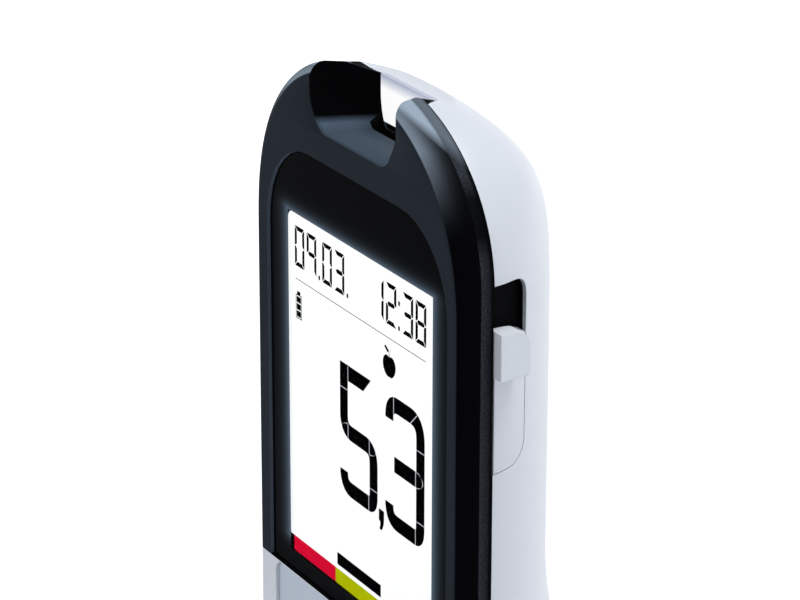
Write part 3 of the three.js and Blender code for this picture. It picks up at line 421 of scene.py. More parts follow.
class Wiring:
    """Builds the nodes of one material or of the world."""

    def __init__(self, name: str, world: bool = False) -> None:
        """Start with an empty tree and an output.

        Args:
            name: the material's or world's name.
            world: whether it is a world.
        """
        self.material = (bpy.data.worlds if world else bpy.data.materials).new(name)
        self.material.use_nodes = True
        self.tree = self.material.node_tree
        self.tree.nodes.clear()
        self.output = self.add("OutputWorld" if world else "OutputMaterial")

    def add(self, kind: str, **values: object) -> bpy.types.Node:
        """Add a node.

        Args:
            kind: the node's type after ShaderNode.
            values: its properties by name.

        Returns:
            The node.
        """
        node = self.tree.nodes.new("ShaderNode" + kind)
        for name, value in values.items():
            setattr(node, name, value)
        return node

    def link(self, source: Socket, target: Socket) -> None:
        """Join two sockets."""
        self.tree.links.new(source, target)

    def fill(self, target: Socket, value: object) -> None:
        """Join a socket to an input, or set the input to a colour or a number."""
        if isinstance(value, Socket):
            self.link(value, target)
        else:
            target.default_value = (*value, 1.0) if isinstance(value, tuple) else value

    def reckon(self, operation: str, *inputs: object) -> Socket:
        """Add a Math node whose inputs are numbers or sockets, and give its result."""
        node = self.add("Math", operation=operation)
        for target, value in zip(node.inputs, inputs):
            self.fill(target, value)
        return node.outputs[0]

    def place(self) -> Socket:
        """Give the surface's own place."""
        return self.add("TexCoord").outputs["Object"]

    def axes(self) -> list[Socket]:
        """Give the three parts of the surface's own place."""
        apart = self.add("SeparateXYZ")
        self.link(self.place(), apart.inputs[0])
        return list(apart.outputs)

    def noise(self, size: float, detail: float = 2.0, stretch: tuple = (1.0, 1.0, 1.0)) -> Socket:
        """Add a noise whose grains are about size millimetres across, drawn out by stretch.

        Args:
            size: grain size in millimetres.
            detail: how many finer layers it has.
            stretch: how much finer it is along each axis.

        Returns:
            The noise's value.
        """
        turn = self.add("Mapping")
        turn.inputs["Scale"].default_value = tuple(part / (size * MILLIMETRE) for part in stretch)
        self.link(self.place(), turn.inputs["Vector"])
        node = self.add("TexNoise")
        node.inputs["Scale"].default_value = 1.0
        node.inputs["Detail"].default_value = detail
        self.link(turn.outputs["Vector"], node.inputs["Vector"])
        return node.outputs[0]

    def ramp(self, value: Socket, low: float, high: float, start: float, end: float) -> Socket:
        """Carry a value from the range low to high onto start to end, held at both ends."""
        node = self.add("MapRange", clamp=True)
        self.link(value, node.inputs["Value"])
        for name, number in zip(
            ("From Min", "From Max", "To Min", "To Max"), (low, high, start, end)
        ):
            node.inputs[name].default_value = number
        return node.outputs[0]

    def cloud(self, size: float, detail: float, start: float = 0.0, end: float = 1.0) -> Socket:
        """Spread the middle part of a noise's range over start to end."""
        return self.ramp(self.noise(size, detail), *NOISE_RANGE, start, end)

    def blended(self, share: Socket, first: object, second: object) -> Socket:
        """Mix two colours, each a socket or a plain colour, by a share.

        Args:
            share: how much of the second.
            first: the first colour.
            second: the second colour.

        Returns:
            The mixed colour.
        """
        node = self.add("Mix", data_type="RGBA")
        self.link(share, node.inputs[0])
        self.fill(node.inputs[6], first)
        self.fill(node.inputs[7], second)
        return node.outputs[2]

    def mixed(self, share: Socket, first: bpy.types.Node, second: bpy.types.Node) -> bpy.types.Node:
        """Mix two shaders by the share of the second."""
        node = self.add("MixShader")
        for target, source in zip(node.inputs, (share, first.outputs[0], second.outputs[0])):
            self.link(source, target)
        return node

    def seen(self) -> Socket:
        """Give 1 to rays from the camera, off gloss or through glass, and 0 to those that light."""
        rays = self.add("LightPath").outputs
        seen = self.reckon("MAXIMUM", rays["Is Camera Ray"], rays["Is Glossy Ray"])
        return self.reckon("MAXIMUM", seen, rays["Is Transmission Ray"])

    def relief(self, height: Socket, depth: float, edge: float) -> Socket:
        """Add fine relief over edges that catch light as if slightly rounded.

        Args:
            height: the relief's height from 0 to 1.
            depth: its depth in millimetres.
            edge: the edge's radius in millimetres, or zero.

        Returns:
            The normal.
        """
        node = self.add("Bump")
        node.inputs["Strength"].default_value = 1.0
        node.inputs["Distance"].default_value = depth * MILLIMETRE
        self.link(height, node.inputs["Height"])
        if edge > 0:
            rounded = self.add("Bevel", samples=4)
            rounded.inputs["Radius"].default_value = edge * MILLIMETRE
            self.link(rounded.outputs[0], node.inputs["Normal"])
        return node.outputs[0]

    def shader(self, **values: object) -> bpy.types.Node:
        """Add the plain surface shader.

        Args:
            values: numbers, colours or sockets by the names of its inputs.

        Returns:
            The shader.
        """
        node = self.add("BsdfPrincipled")
        for name, value in values.items():
            self.fill(node.inputs[name.replace("_", " ").title().replace("Ior", "IOR")], value)
        return node

    def finished(self, node: bpy.types.Node) -> Material:
        """Join a shader to the output and give the material."""
        self.link(node.outputs[0], self.output.inputs["Surface"])
        return self.material


def toned(colour: Colour, share: float) -> Colour:
    """Give a colour with each channel times a share, darker below one and lighter above."""
    return tuple(channel * share for channel in colour)


@dataclass(frozen=True)
class MouldedPlastic:
    """A moulded plastic with fine grain, faint mottling and slightly soft edges."""

    name: str
    colour: Colour
    roughness: float
    grain: float = 0.12
    relief: float = 0.004
    mottle: float = 0.06
    edge: float = 0.08
    gloss: float = 0.45

    def make(self) -> Material:
        """Build the material: two noises vary colour and roughness, a third raises the grain."""
        net = Wiring(self.name)
        return net.finished(net.shader(
            specular_ior_level=self.gloss,
            base_color=net.blended(
                net.cloud(9.0, 3.0), self.colour, toned(self.colour, 1 - self.mottle)
            ),
            roughness=net.cloud(1.3, 2.0, self.roughness * 0.92, self.roughness * 1.08),
            normal=net.relief(net.noise(self.grain, 2.0), self.relief, self.edge),
        ))


@dataclass(frozen=True)
class ShellGrainAndSheen:
    """The dark front shell: a low-gloss face, an edge band painted near black as shade and a
    textured band behind it, with painted highlights over the crown.

    Depths are in millimetres behind the face and heights in metres.
    """

    name: str
    face: Colour
    # The second colour is painted shade on the edge band, the third a painted highlight over the
    # crown and the fourth the textured band's painted highlight.
    band: Colour
    painted_sheen: Colour
    grain_highlight: Colour
    face_end: float = 0.02
    grain_start: float = 1.62
    grain_end: float = 2.27
    fall: float = 0.38
    # From here on, heights and depths that place the painted highlights.
    rise: Pair = (0.1152, 0.1206)
    flare_height: float = 0.121
    flare_lean: Pair = (0.9, 2.0)
    flare_depths: Pair = (1.35, 1.65)
    painted_sheen_end: Pair = (2.38, 2.5)
    pale_high: Pair = (0.118, 0.1195)
    pale_low: Pair = (0.1145, 0.116)
    pale_depths: Pair = (1.65, 2.3)

    def make(self, front: float) -> Material:
        """Build the material.

        Behind the face the edge is painted near black, a painted shade. Over the crown a painted
        highlight lies on it that falls off with the exponent of depth, and at the very top, where
        depth plus height pass a line, the painted highlight widens over the whole band. The
        textured band is painted pale as a highlight where the lamps would catch it, over the crown
        and low down, and darkens in line with depth, less so over the crown. Behind the shell no
        painted highlight shows.

        Args:
            front: the front face's place along the frame's y axis in metres.

        Returns:
            The material.
        """
        net = Wiring(self.name)
        _, y, height = net.axes()
        depth = net.reckon("DIVIDE", net.reckon("SUBTRACT", y, front), MILLIMETRE)
        speckle = net.cloud(0.14, 1.0, 0.55, 1.25)
        edge = net.ramp(depth, self.face_end, self.face_end + 0.03, 0.0, 1.0)
        colour = net.blended(net.cloud(7.0, 3.0), self.face, toned(self.face, 1.12))
        colour = net.blended(edge, colour, self.band)
        falling = net.reckon("EXPONENT", net.reckon("DIVIDE", depth, -self.fall))
        rising = net.reckon("POWER", net.ramp(height, *self.rise, 0.0, 1.0), 3.0)
        over = net.reckon(
            "MULTIPLY", net.reckon("SUBTRACT", height, self.flare_height), 1 / MILLIMETRE
        )
        lean = net.ramp(net.reckon("ADD", depth, over), *self.flare_lean, 0.0, 0.9)
        flare = net.reckon("MULTIPLY", lean, net.ramp(depth, *self.flare_depths, 1.0, 0.7))
        painted_sheen = net.reckon("MAXIMUM", net.reckon("MULTIPLY", falling, rising), flare)
        behind = net.ramp(depth, self.grain_start - 0.02, self.grain_start + 0.02, 0.0, 1.0)
        before = net.ramp(depth, self.grain_end - 0.04, self.grain_end + 0.03, 1.0, 0.15)
        # Painted highlight on the textured band: pale over the crown and low down, dark in between.
        high = net.ramp(height, *self.pale_high, 0.0, 1.0)
        deep = net.ramp(depth, *self.pale_depths, 1.0, 0.3)
        low = net.reckon("MULTIPLY", net.ramp(height, *self.pale_low, 1.0, 0.1), deep)
        pale = net.reckon("MULTIPLY", before, speckle)
        pale = net.reckon("MULTIPLY", net.reckon("MAXIMUM", high, low), pale)
        colour = net.blended(net.reckon("MULTIPLY", behind, pale), colour, self.grain_highlight)
        painted_sheen = net.reckon("MULTIPLY", edge, painted_sheen)
        painted_sheen = net.reckon("MULTIPLY", painted_sheen, net.ramp(behind, 0.0, 1.0, 1.0, 0.45))
        painted_sheen = net.reckon("MULTIPLY", painted_sheen, net.ramp(depth, *self.painted_sheen_end, 1.0, 0.0))
        grain = net.reckon("MULTIPLY", net.noise(0.16, 2.0), net.ramp(behind, 0.0, 1.0, 0.2, 1.0))
        # All painted shade and highlights go into the base colour; the shader hardly shines.
        return net.finished(net.shader(
            specular_ior_level=0.004,
            roughness=0.36,
            base_color=net.blended(painted_sheen, colour, self.painted_sheen),
            normal=net.relief(grain, 0.012, 0.07),
        ))


@dataclass(frozen=True)
class ScoopPaintedLight:
    """The inside of the scoop: a floor painted a pale lit tone that rolls up into walls painted
    black as shade.
    """

    name: str
    # The floor colour is painted light, the wall colour painted shade and the third colour a
    # painted highlight.
    floor: Colour
    wall: Colour
    painted_highlight: Colour
    turns: tuple[float, float, float] = (0.11835, 0.11875, 0.1192)

    def make(self) -> Material:
        """Build the material: its painted light changes with height, with a painted highlight where
        floor meets wall.
        """
        net = Wiring(self.name)
        waver = net.reckon("MULTIPLY", net.noise(3.0, 1.0), 0.0001)
        height = net.reckon("ADD", net.axes()[2], waver)
        start, middle, end = self.turns
        colour = net.blended(net.ramp(height, start, middle, 0.0, 1.0), self.floor, self.painted_highlight)
        return net.finished(net.shader(
            specular_ior_level=0.006,
            roughness=0.4,
            base_color=net.blended(net.ramp(height, middle, end, 0.0, 1.0), colour, self.wall),
            normal=net.relief(net.noise(0.1, 2.0), 0.002, 0.05),
        ))


@dataclass(frozen=True)
class BrushedMetal:
    """A plated or rolled metal with fine marks drawn along one axis."""

    name: str
    colour: Colour
    roughness: float
    stretch: tuple[float, float, float] = (1.0, 1.0, 8.0)

    def make(self) -> Material:
        """Build the material: a drawn-out noise varies the roughness and raises the marks."""
        net = Wiring(self.name)
        marks = net.noise(0.5, 3.0, self.stretch)
        return net.finished(net.shader(
            metallic=1.0,
            base_color=net.blended(net.cloud(3.0, 3.0), self.colour, toned(self.colour, 0.82)),
            roughness=net.ramp(marks, *NOISE_RANGE, self.roughness * 0.7, self.roughness * 1.35),
            normal=net.relief(marks, 0.003, 0.05),
        ))


@dataclass(frozen=True)
class TracedBoard:
    """A lacquered circuit board with lighter copper tracks under the lacquer."""

    name: str
    lacquer: Colour
    track: Colour
    density: float = 420.0

    def make(self) -> Material:
        """Build the material: a brick pattern whose mortar lines are the tracks."""
        net = Wiring(self.name)
        turn = net.add("Mapping")
        turn.inputs["Scale"].default_value = (self.density,) * 3
        turn.inputs["Rotation"].default_value = (QUARTER_TURN, 0.0, 0.0)
        net.link(net.place(), turn.inputs["Vector"])
        tracks = net.add("TexBrick")
        for name, value in (
            ("Vector", turn.outputs["Vector"]), ("Scale", 1.0), ("Mortar Size", 0.05),
            ("Color1", self.lacquer), ("Color2", toned(self.lacquer, 0.8)), ("Mortar", self.track),
        ):
            net.fill(tracks.inputs[name], value)
        relief = net.relief(tracks.outputs["Fac"], 0.02, 0.0)
        return net.finished(
            net.shader(roughness=0.35, base_color=tracks.outputs["Color"], normal=relief)
        )


@dataclass(frozen=True)
class DisplayWindow:
    """Clear glass over the lit display, with black print round it that catches the light's glow."""

    name: str
    low: Pair
    high: Pair
    lit_foot: float
    glow: Colour
    glow_reach: float
    up_stretch: float = 1.8
    least_gloss: float = 0.35
    print_edge: float = 0.000002

    def outside(self, net: Wiring, x: Socket, z: Socket, foot: float) -> Socket:
        """Work out how far a place lies outside the clear area.

        The distance is the length of how far x and z lie past the area's half sizes, z stretched.

        Args:
            net: the material's nodes.
            x: the place's x.
            z: the place's height.
            foot: the area's foot.

        Returns:
            The distance.
        """
        past = []
        for value, low, high in ((x, self.low[0], self.high[0]), (z, foot, self.high[1])):
            off = net.reckon("ABSOLUTE", net.reckon("SUBTRACT", value, (low + high) / 2))
            past.append(net.reckon("MAXIMUM", net.reckon("SUBTRACT", off, (high - low) / 2), 0.0))
        past[1] = net.reckon("MULTIPLY", past[1], self.up_stretch)
        squares = [net.reckon("MULTIPLY", part, part) for part in past]
        return net.reckon("SQRT", net.reckon("ADD", *squares))

    def make(self) -> Material:
        """Build the material.

        The glow falls off with the exponent of the distance over the reach. Inside the area the
        surface lets light straight through and keeps only its gloss. The print lies on the
        outside only.

        Returns:
            The material.
        """
        net = Wiring(self.name)
        x, _, z = net.axes()
        away = net.reckon("DIVIDE", self.outside(net, x, z, self.lit_foot), -self.glow_reach)
        ink = net.shader(
            base_color=srgb(4, 5, 7),
            specular_ior_level=0.003,
            emission_color=self.glow,
            emission_strength=net.reckon("EXPONENT", away),
            roughness=net.cloud(4.0, 2.0, 0.04, 0.07),
        )
        gloss = net.add("BsdfGlossy")
        net.fill(gloss.inputs["Roughness"], 0.04)
        net.fill(gloss.inputs["Color"], (0.08, 0.08, 0.08))
        lean = net.add("Fresnel")
        net.fill(lean.inputs["IOR"], 1.3)
        back = net.add("NewGeometry").outputs["Backfacing"]
        outer = net.reckon("SUBTRACT", self.least_gloss, back)
        shine = net.reckon("MULTIPLY", lean.outputs[0], net.reckon("MAXIMUM", outer, 0.0))
        clear = net.mixed(shine, net.add("BsdfTransparent"), gloss)
        printed = net.reckon("GREATER_THAN", self.outside(net, x, z, self.low[1]), self.print_edge)
        printed = net.reckon("MULTIPLY", printed, net.reckon("GREATER_THAN", outer, 0.0))
        return net.finished(net.mixed(printed, clear, ink))


@dataclass(frozen=True)
class Lit:
    """A surface lit from behind, with a soft change of tone from foot to top."""

    name: str
    low_colour: Colour
    high_colour: Colour
    low: float
    high: float
    strength: float
    body_share: float = 0.0

    def make(self) -> Material:
        """Build the material: its glow goes from the low to the high colour between two heights."""
        net = Wiring(self.name)
        waver = net.reckon("MULTIPLY", net.noise(6.0, 1.0), 0.0002)
        height = net.reckon("ADD", net.axes()[2], waver)
        share = net.ramp(height, self.low * MILLIMETRE, self.high * MILLIMETRE, 0.0, 1.0)
        return net.finished(net.shader(
            roughness=0.4,
            base_color=toned(self.low_colour, self.body_share),
            emission_color=net.blended(share, self.low_colour, self.high_colour),
            emission_strength=self.strength,
        ))


@dataclass(frozen=True)
class Print:
    """Ink on the lit display: a faintly uneven tone that gives off its own share of light."""

    name: str
    colour: Colour
    strength: float = 0.0

    def make(self) -> Material:
        """Build the material."""
        net = Wiring(self.name)
        tone = net.blended(net.cloud(0.8, 2.0), self.colour, toned(self.colour, 0.94))
        glow = {"emission_color": tone} if self.strength > 0 else {}
        return net.finished(net.shader(
            roughness=0.5,
            emission_strength=self.strength,
            specular_ior_level=0.0,
            base_color=tone,
            **glow,
        ))


class Finishes:
    """Every finish of the meter, made once."""

    def __init__(self, front: float) -> None:
        """Make the materials.

        Args:
            front: the front face's place along the frame's y axis in metres.
        """
        # The dark face has painted light: near-black shade on its edge band, a painted highlight
        # over the crown and a pale painted highlight on its textured band.
        self.dark_face = ShellGrainAndSheen(
            "dark_face", srgb(41, 46, 53), srgb(7, 7, 9), srgb(172, 187, 201), srgb(56, 60, 66)
        ).make(front)
        # The scoop's inside has painted light: a lit floor, shaded black walls and a highlight
        # where they meet.
        self.scoop_satin = ScoopPaintedLight(
            "scoop_satin", srgb(72, 84, 96), srgb(7, 7, 9), srgb(84, 99, 114)
        ).make()
        self.white_case = MouldedPlastic(
            "white_case", srgb(226, 229, 235), 0.36, relief=0.002, mottle=0.015
        ).make()
        # Near black on the inner skin and in every hollow cut: painted shade for the dark inside
        # the case, also where the shells are white.
        self.case_inside = MouldedPlastic(
            "case_inside", srgb(10, 11, 13), 0.7, relief=0.006, gloss=0.05
        ).make()
        self.pale_panel = MouldedPlastic(
            "pale_panel", srgb(202, 212, 224), 0.45, relief=0.004, mottle=0.02
        ).make()
        self.grip_grey = MouldedPlastic(
            "grip_grey", srgb(240, 244, 248), 0.4, relief=0.002, mottle=0.02, edge=0.1
        ).make()
        self.soft_grey = MouldedPlastic(
            "soft_grey", srgb(120, 127, 138), 0.7, grain=0.2, relief=0.01
        ).make()
        # The window seat's wall is the dark shell plastic painted lighter, a painted highlight
        # where it faces the light.
        self.seat_edge = MouldedPlastic(
            "seat_edge", srgb(92, 105, 117), 0.5, relief=0.002, gloss=0.03
        ).make()
        self.black_plastic = MouldedPlastic(
            "black_plastic", srgb(24, 25, 28), 0.5, relief=0.006
        ).make()
        self.lancet_blue = MouldedPlastic("lancet_blue", srgb(64, 116, 186), 0.4).make()
        self.mark_grey = MouldedPlastic("mark_grey", srgb(96, 104, 116), 0.5, edge=0.0).make()
        self.plated_steel = BrushedMetal("plated_steel", srgb(196, 200, 206), 0.28).make()
        self.cell_steel = BrushedMetal(
            "cell_steel", srgb(206, 208, 212), 0.22, (6.0, 1.0, 1.0)
        ).make()
        self.contact_brass = BrushedMetal("contact_brass", srgb(218, 178, 96), 0.3).make()
        self.circuit_board = TracedBoard(
            "circuit_board", srgb(26, 96, 54), srgb(62, 134, 84)
        ).make()
        self.lit_panel = Lit(
            "lit_panel", srgb(248, 252, 255), srgb(252, 254, 255), 88.0, 111.0, 0.97
        ).make()
        self.lit_guide = Lit(
            "lit_guide", srgb(255, 255, 255), srgb(150, 158, 184), 121.0, 121.9, 0.9, body_share=0.2
        ).make()
        self.ink_black = Print("ink_black", srgb(2, 2, 3)).make()
        self.ink_line = Print("ink_line", srgb(205, 208, 214), 0.6).make()
        self.ink_red = Print("ink_red", srgb(206, 8, 46), 0.54).make()
        self.ink_green = Print("ink_green", srgb(168, 175, 1), 0.54).make()


class Placement:
    """Puts a finished piece into the shared frame and hides the CAD nodes it stands for."""

    def __init__(self) -> None:
        """Read the mid-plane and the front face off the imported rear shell."""
        low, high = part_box("rear_shell")
        self.middle = float(low.x + high.x) / 2
        self.front = float(high.y) - 16.0 * MILLIMETRE

    def settle(
        self,
        piece: Solid,
        name: str,
        body: str,
        slot: str,
        *nodes: str,
    ) -> None:
        """Scale a piece to metres, move its points into the frame and make it ride.

        Args:
            piece: the shape in case millimetres.
            name: the finished piece's name.
            body: the CAD body it rides on.
            slot: the record's material slot; not used.
            nodes: the CAD nodes it stands for.
        """
        thing = piece.thing
        thing.name = name
        mesh = thing.data
        mesh.name = name
        points = piece.points() * MILLIMETRE + np.array([self.middle, self.front, 0.0])
        mesh.vertices.foreach_set("co", points.ravel())
        mesh.shade_smooth()
        mesh.set_sharp_from_angle(angle=math.radians(CREASE))
        mesh.update()
        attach(thing, body)
        if nodes:
            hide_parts(*nodes)
        log.info("%s: %d faces on %s", name, len(mesh.polygons), body)


@dataclass(frozen=True)
class CaseForm:
    """The outside of the whole case as rings in depth; lengths in millimetres."""

    height: float = 123.0
    depth: float = 16.0
    head_depth: float = 11.0
    half_width: float = 13.95
    front_half: float = 13.74
    face_half: float = 13.5
    parting: float = 2.5
    shoulder: float = 0.3
    crown_shoulder: float = 0.8
    crest_foot: float = 103.0
    crest_top: float = 112.0
    swell_top: float = 92.0
    swell_foot: float = 64.0
    arch_centre: float = 112.32
    arch_top: float = 123.56
    parting_top: float = 123.12
    parting_exponent: float = 2.1
    face_centre: float = 109.15
    face_top: float = 122.55
    exponent: float = 2.05
    face_exponent: float = 2.25
    back_inset: float = 8.3
    back_drop: float = 7.15
    centre_drop: float = 10.0
    exponent_gain: float = 3.4
    round_power: float = 1.5
    top_power: float = 1.35
    foot_centre: float = 12.0
    foot_bottom: float = -1.5
    foot_exponent: float = 2.6
    foot_inset: float = 7.0
    foot_lift: float = 6.0
    foot_power: float = 2.2
    wall: float = 1.2
    blend: float = 0.25

    def stations(self, shrink: float, face_depth: float) -> np.ndarray:
        """List the rings from front to back, as rows of their numbers.

        The front edge rolls over on a quarter ellipse from the flat face to the edge band: the
        share towards the band is the sine of the turn and the depth is one less its cosine, times
        the shoulder's depth, which is greater over the crown. Over the edge band the arch's top
        falls in line with depth. The back follows a bowl: widths go in with one less the cosine of
        the turn to a power, and the depth goes back with the sine to a power.

        Args:
            shrink: how far inside the outside this skin lies.
            face_depth: depth of the first ring.

        Returns:
            Rows of head half width, low half width, head depth, low depth, foot lift, arch centre,
            arch top, arch exponent, inset and depth over the crown.
        """
        rows = []
        if face_depth == 0.0:
            turn = np.linspace(0.0, QUARTER_TURN, 10)
            share = np.sin(turn)
            depth = self.shoulder * (1 - np.cos(turn))
            half = self.face_half + (self.front_half - self.face_half) * share
            centre = self.face_centre + (self.arch_centre - self.face_centre) * share
            top = self.face_top + (self.arch_top - self.face_top) * share
            power = self.face_exponent + (self.exponent - self.face_exponent) * share
            still = np.zeros_like(share)
            crest = self.crown_shoulder * (1 - np.cos(turn))
            rolled = np.stack(
                [half, half, depth, depth, still, centre, top, power, still, crest], axis=1
            )
            support = rolled[:1].copy()
            support[0, 8] = 0.2
            rows += [support, rolled]
        bands = np.array([
            [0.9, 0.0], [1.2, 0.0], [1.5, 0.0], [1.56, 0.03], [1.62, 0.03], [1.68, 0.0],
            [2.0, 0.0], [2.3, 0.0],
        ])
        if face_depth > 0.0:
            bands = np.array([[face_depth, 0.0], [2.2, 0.0]])
        half = self.front_half + (
            self.half_width - self.front_half
        ) * (bands[:, 0] - 0.3) / (self.parting - 0.3)
        back = np.clip(
            (bands[:, 0] - self.crown_shoulder) / (self.parting - self.crown_shoulder), 0.0, 1.0
        )
        still = np.zeros(len(bands))
        rows.append(
            np.stack(
                [
                    half,
                    half,
                    bands[:, 0],
                    bands[:, 0],
                    still,
                    still + self.arch_centre,
                    self.arch_top + (self.parting_top - self.arch_top) * back,
                    self.exponent + (self.parting_exponent - self.exponent) * back,
                    bands[:, 1],
                    bands[:, 0],
                ],
                axis=1,
            )
        )
        turn = np.linspace(0.0, QUARTER_TURN, 44)
        side = 1 - np.cos(turn) ** (2 / self.round_power)
        low = 1 - np.cos(turn) ** (2 / self.foot_power)
        top = 1 - np.cos(turn) ** (2 / self.top_power)
        head_depth = self.parting + (
            self.head_depth - shrink - self.parting
        ) * np.sin(turn) ** (2 / self.round_power)
        low_depth = self.parting + (
            self.depth - shrink - self.parting
        ) * np.sin(turn) ** (2 / self.foot_power)
        rows.append(
            np.stack(
                [
                    self.half_width - self.back_inset * side,
                    self.half_width - self.foot_inset * low, head_depth, low_depth,
                    self.foot_lift * low, self.arch_centre - self.centre_drop * side,
                    self.parting_top - self.back_drop * top,
                    self.parting_exponent + self.exponent_gain * side, np.zeros_like(turn),
                    head_depth,
                ],
                axis=1,
            )
        )
        return np.concatenate(rows)

    def rings(self, shrink: float = 0.0, face_depth: float = 0.0) -> np.ndarray:
        """Work out every ring's points.

        The foot's corners and the arch are superellipses: the half width times the cosine of a
        turn to a power, and the rise times the sine to the same power. Between them the sides
        change from the head's width and depth to the lower half's with a smooth step in height.

        Args:
            shrink: how far inside the outside the skin lies.
            face_depth: depth of the first ring.

        Returns:
            An array of ring, point and coordinate.
        """
        table = self.stations(shrink, face_depth)[:, :, None]
        head, low, head_depth, low_depth, lift, centre, top, power, own, crest = (
            table[:, k] for k in range(10)
        )
        inset = shrink + own
        share = np.linspace(0.0, 0.995, 30)[::-1]
        turn = QUARTER_TURN * share**1.5 / (share**1.5 + (1 - share) ** 1.5)
        foot = self.foot_bottom + lift + inset
        corner_x = (low - inset) * np.cos(turn) ** (2 / self.foot_exponent)
        corner_z = self.foot_centre - (self.foot_centre - foot) * np.sin(turn) ** (
            2 / self.foot_exponent
        )
        corner_z = upper_of(corner_z, inset, self.blend)
        corner_y = np.broadcast_to(low_depth, corner_x.shape)
        heights = np.concatenate([
            np.linspace(self.foot_centre, self.swell_foot, 14)[1:],
            np.linspace(self.swell_foot, self.swell_top, 29)[1:],
        ])
        swell = smooth((self.swell_top - heights) / (self.swell_top - self.swell_foot))
        side_x = head + (low - head) * swell - inset
        side_y = head_depth + (low_depth - head_depth) * swell
        side_z = np.broadcast_to(heights, side_x.shape)
        share = np.linspace(0.0, 0.997, 76)
        turn = QUARTER_TURN * share**2.0 / (share**2.0 + (1 - share) ** 2.0)
        rise = top - inset - centre
        arch_x = (head - inset) * np.cos(turn) ** (2 / power)
        arch_z = lower_of(
            centre + rise * np.sin(turn) ** (2 / power), self.height - inset, self.blend
        )
        arch_y = head_depth + (crest - head_depth) * smooth(
            (arch_z - self.crest_foot) / (self.crest_top - self.crest_foot)
        )
        right = np.stack(
            [
                np.concatenate([corner_x, side_x, arch_x], axis=1),
                np.concatenate([corner_y, side_y, arch_y], axis=1),
                np.concatenate([corner_z, side_z, arch_z], axis=1),
            ],
            axis=-1,
        )
        return mirrored(right)


@dataclass
class Case:
    """The fine outer and inner skins that every shell is cut from."""

    finishes: Finishes
    form: CaseForm = field(default_factory=CaseForm)

    def __post_init__(self) -> None:
        """Close both skins."""
        self.outer_dark = skin(self.form.rings(), self.finishes.dark_face)
        self.outer_white = skin(self.form.rings(), self.finishes.white_case)
        # The inner skin is near black, a painted shade.
        self.inner = skin(self.form.rings(self.form.wall, 1.8), self.finishes.case_inside)

    def slab(self, y0: float, y1: float, z0: float, z1: float, finish: Material) -> Solid:
        """Make a tool across the whole width between two depths and two heights."""
        return block((-BEYOND, y0, z0), (BEYOND, y1, z1), finish)

    def room(self, z0: float, z1: float) -> Solid:
        """Give the hollow between two heights."""
        return self.inner.copy().keep(self.slab(BEFORE, BEYOND, z0, z1, self.finishes.case_inside))

    def shell(self, outer: Solid, depths: Pair, heights: Pair, rooms: tuple) -> Solid:
        """Cut one shell out of the case.

        Args:
            outer: the outer skin in the shell's finish.
            depths: from the front to the back of the shell.
            heights: from its foot to its top.
            rooms: pairs of heights between which it is hollow.

        Returns:
            The shell.
        """
        bound = self.slab(*depths, *heights, self.finishes.case_inside)
        return outer.copy().keep(bound).cut(*[self.room(*pair) for pair in rooms])


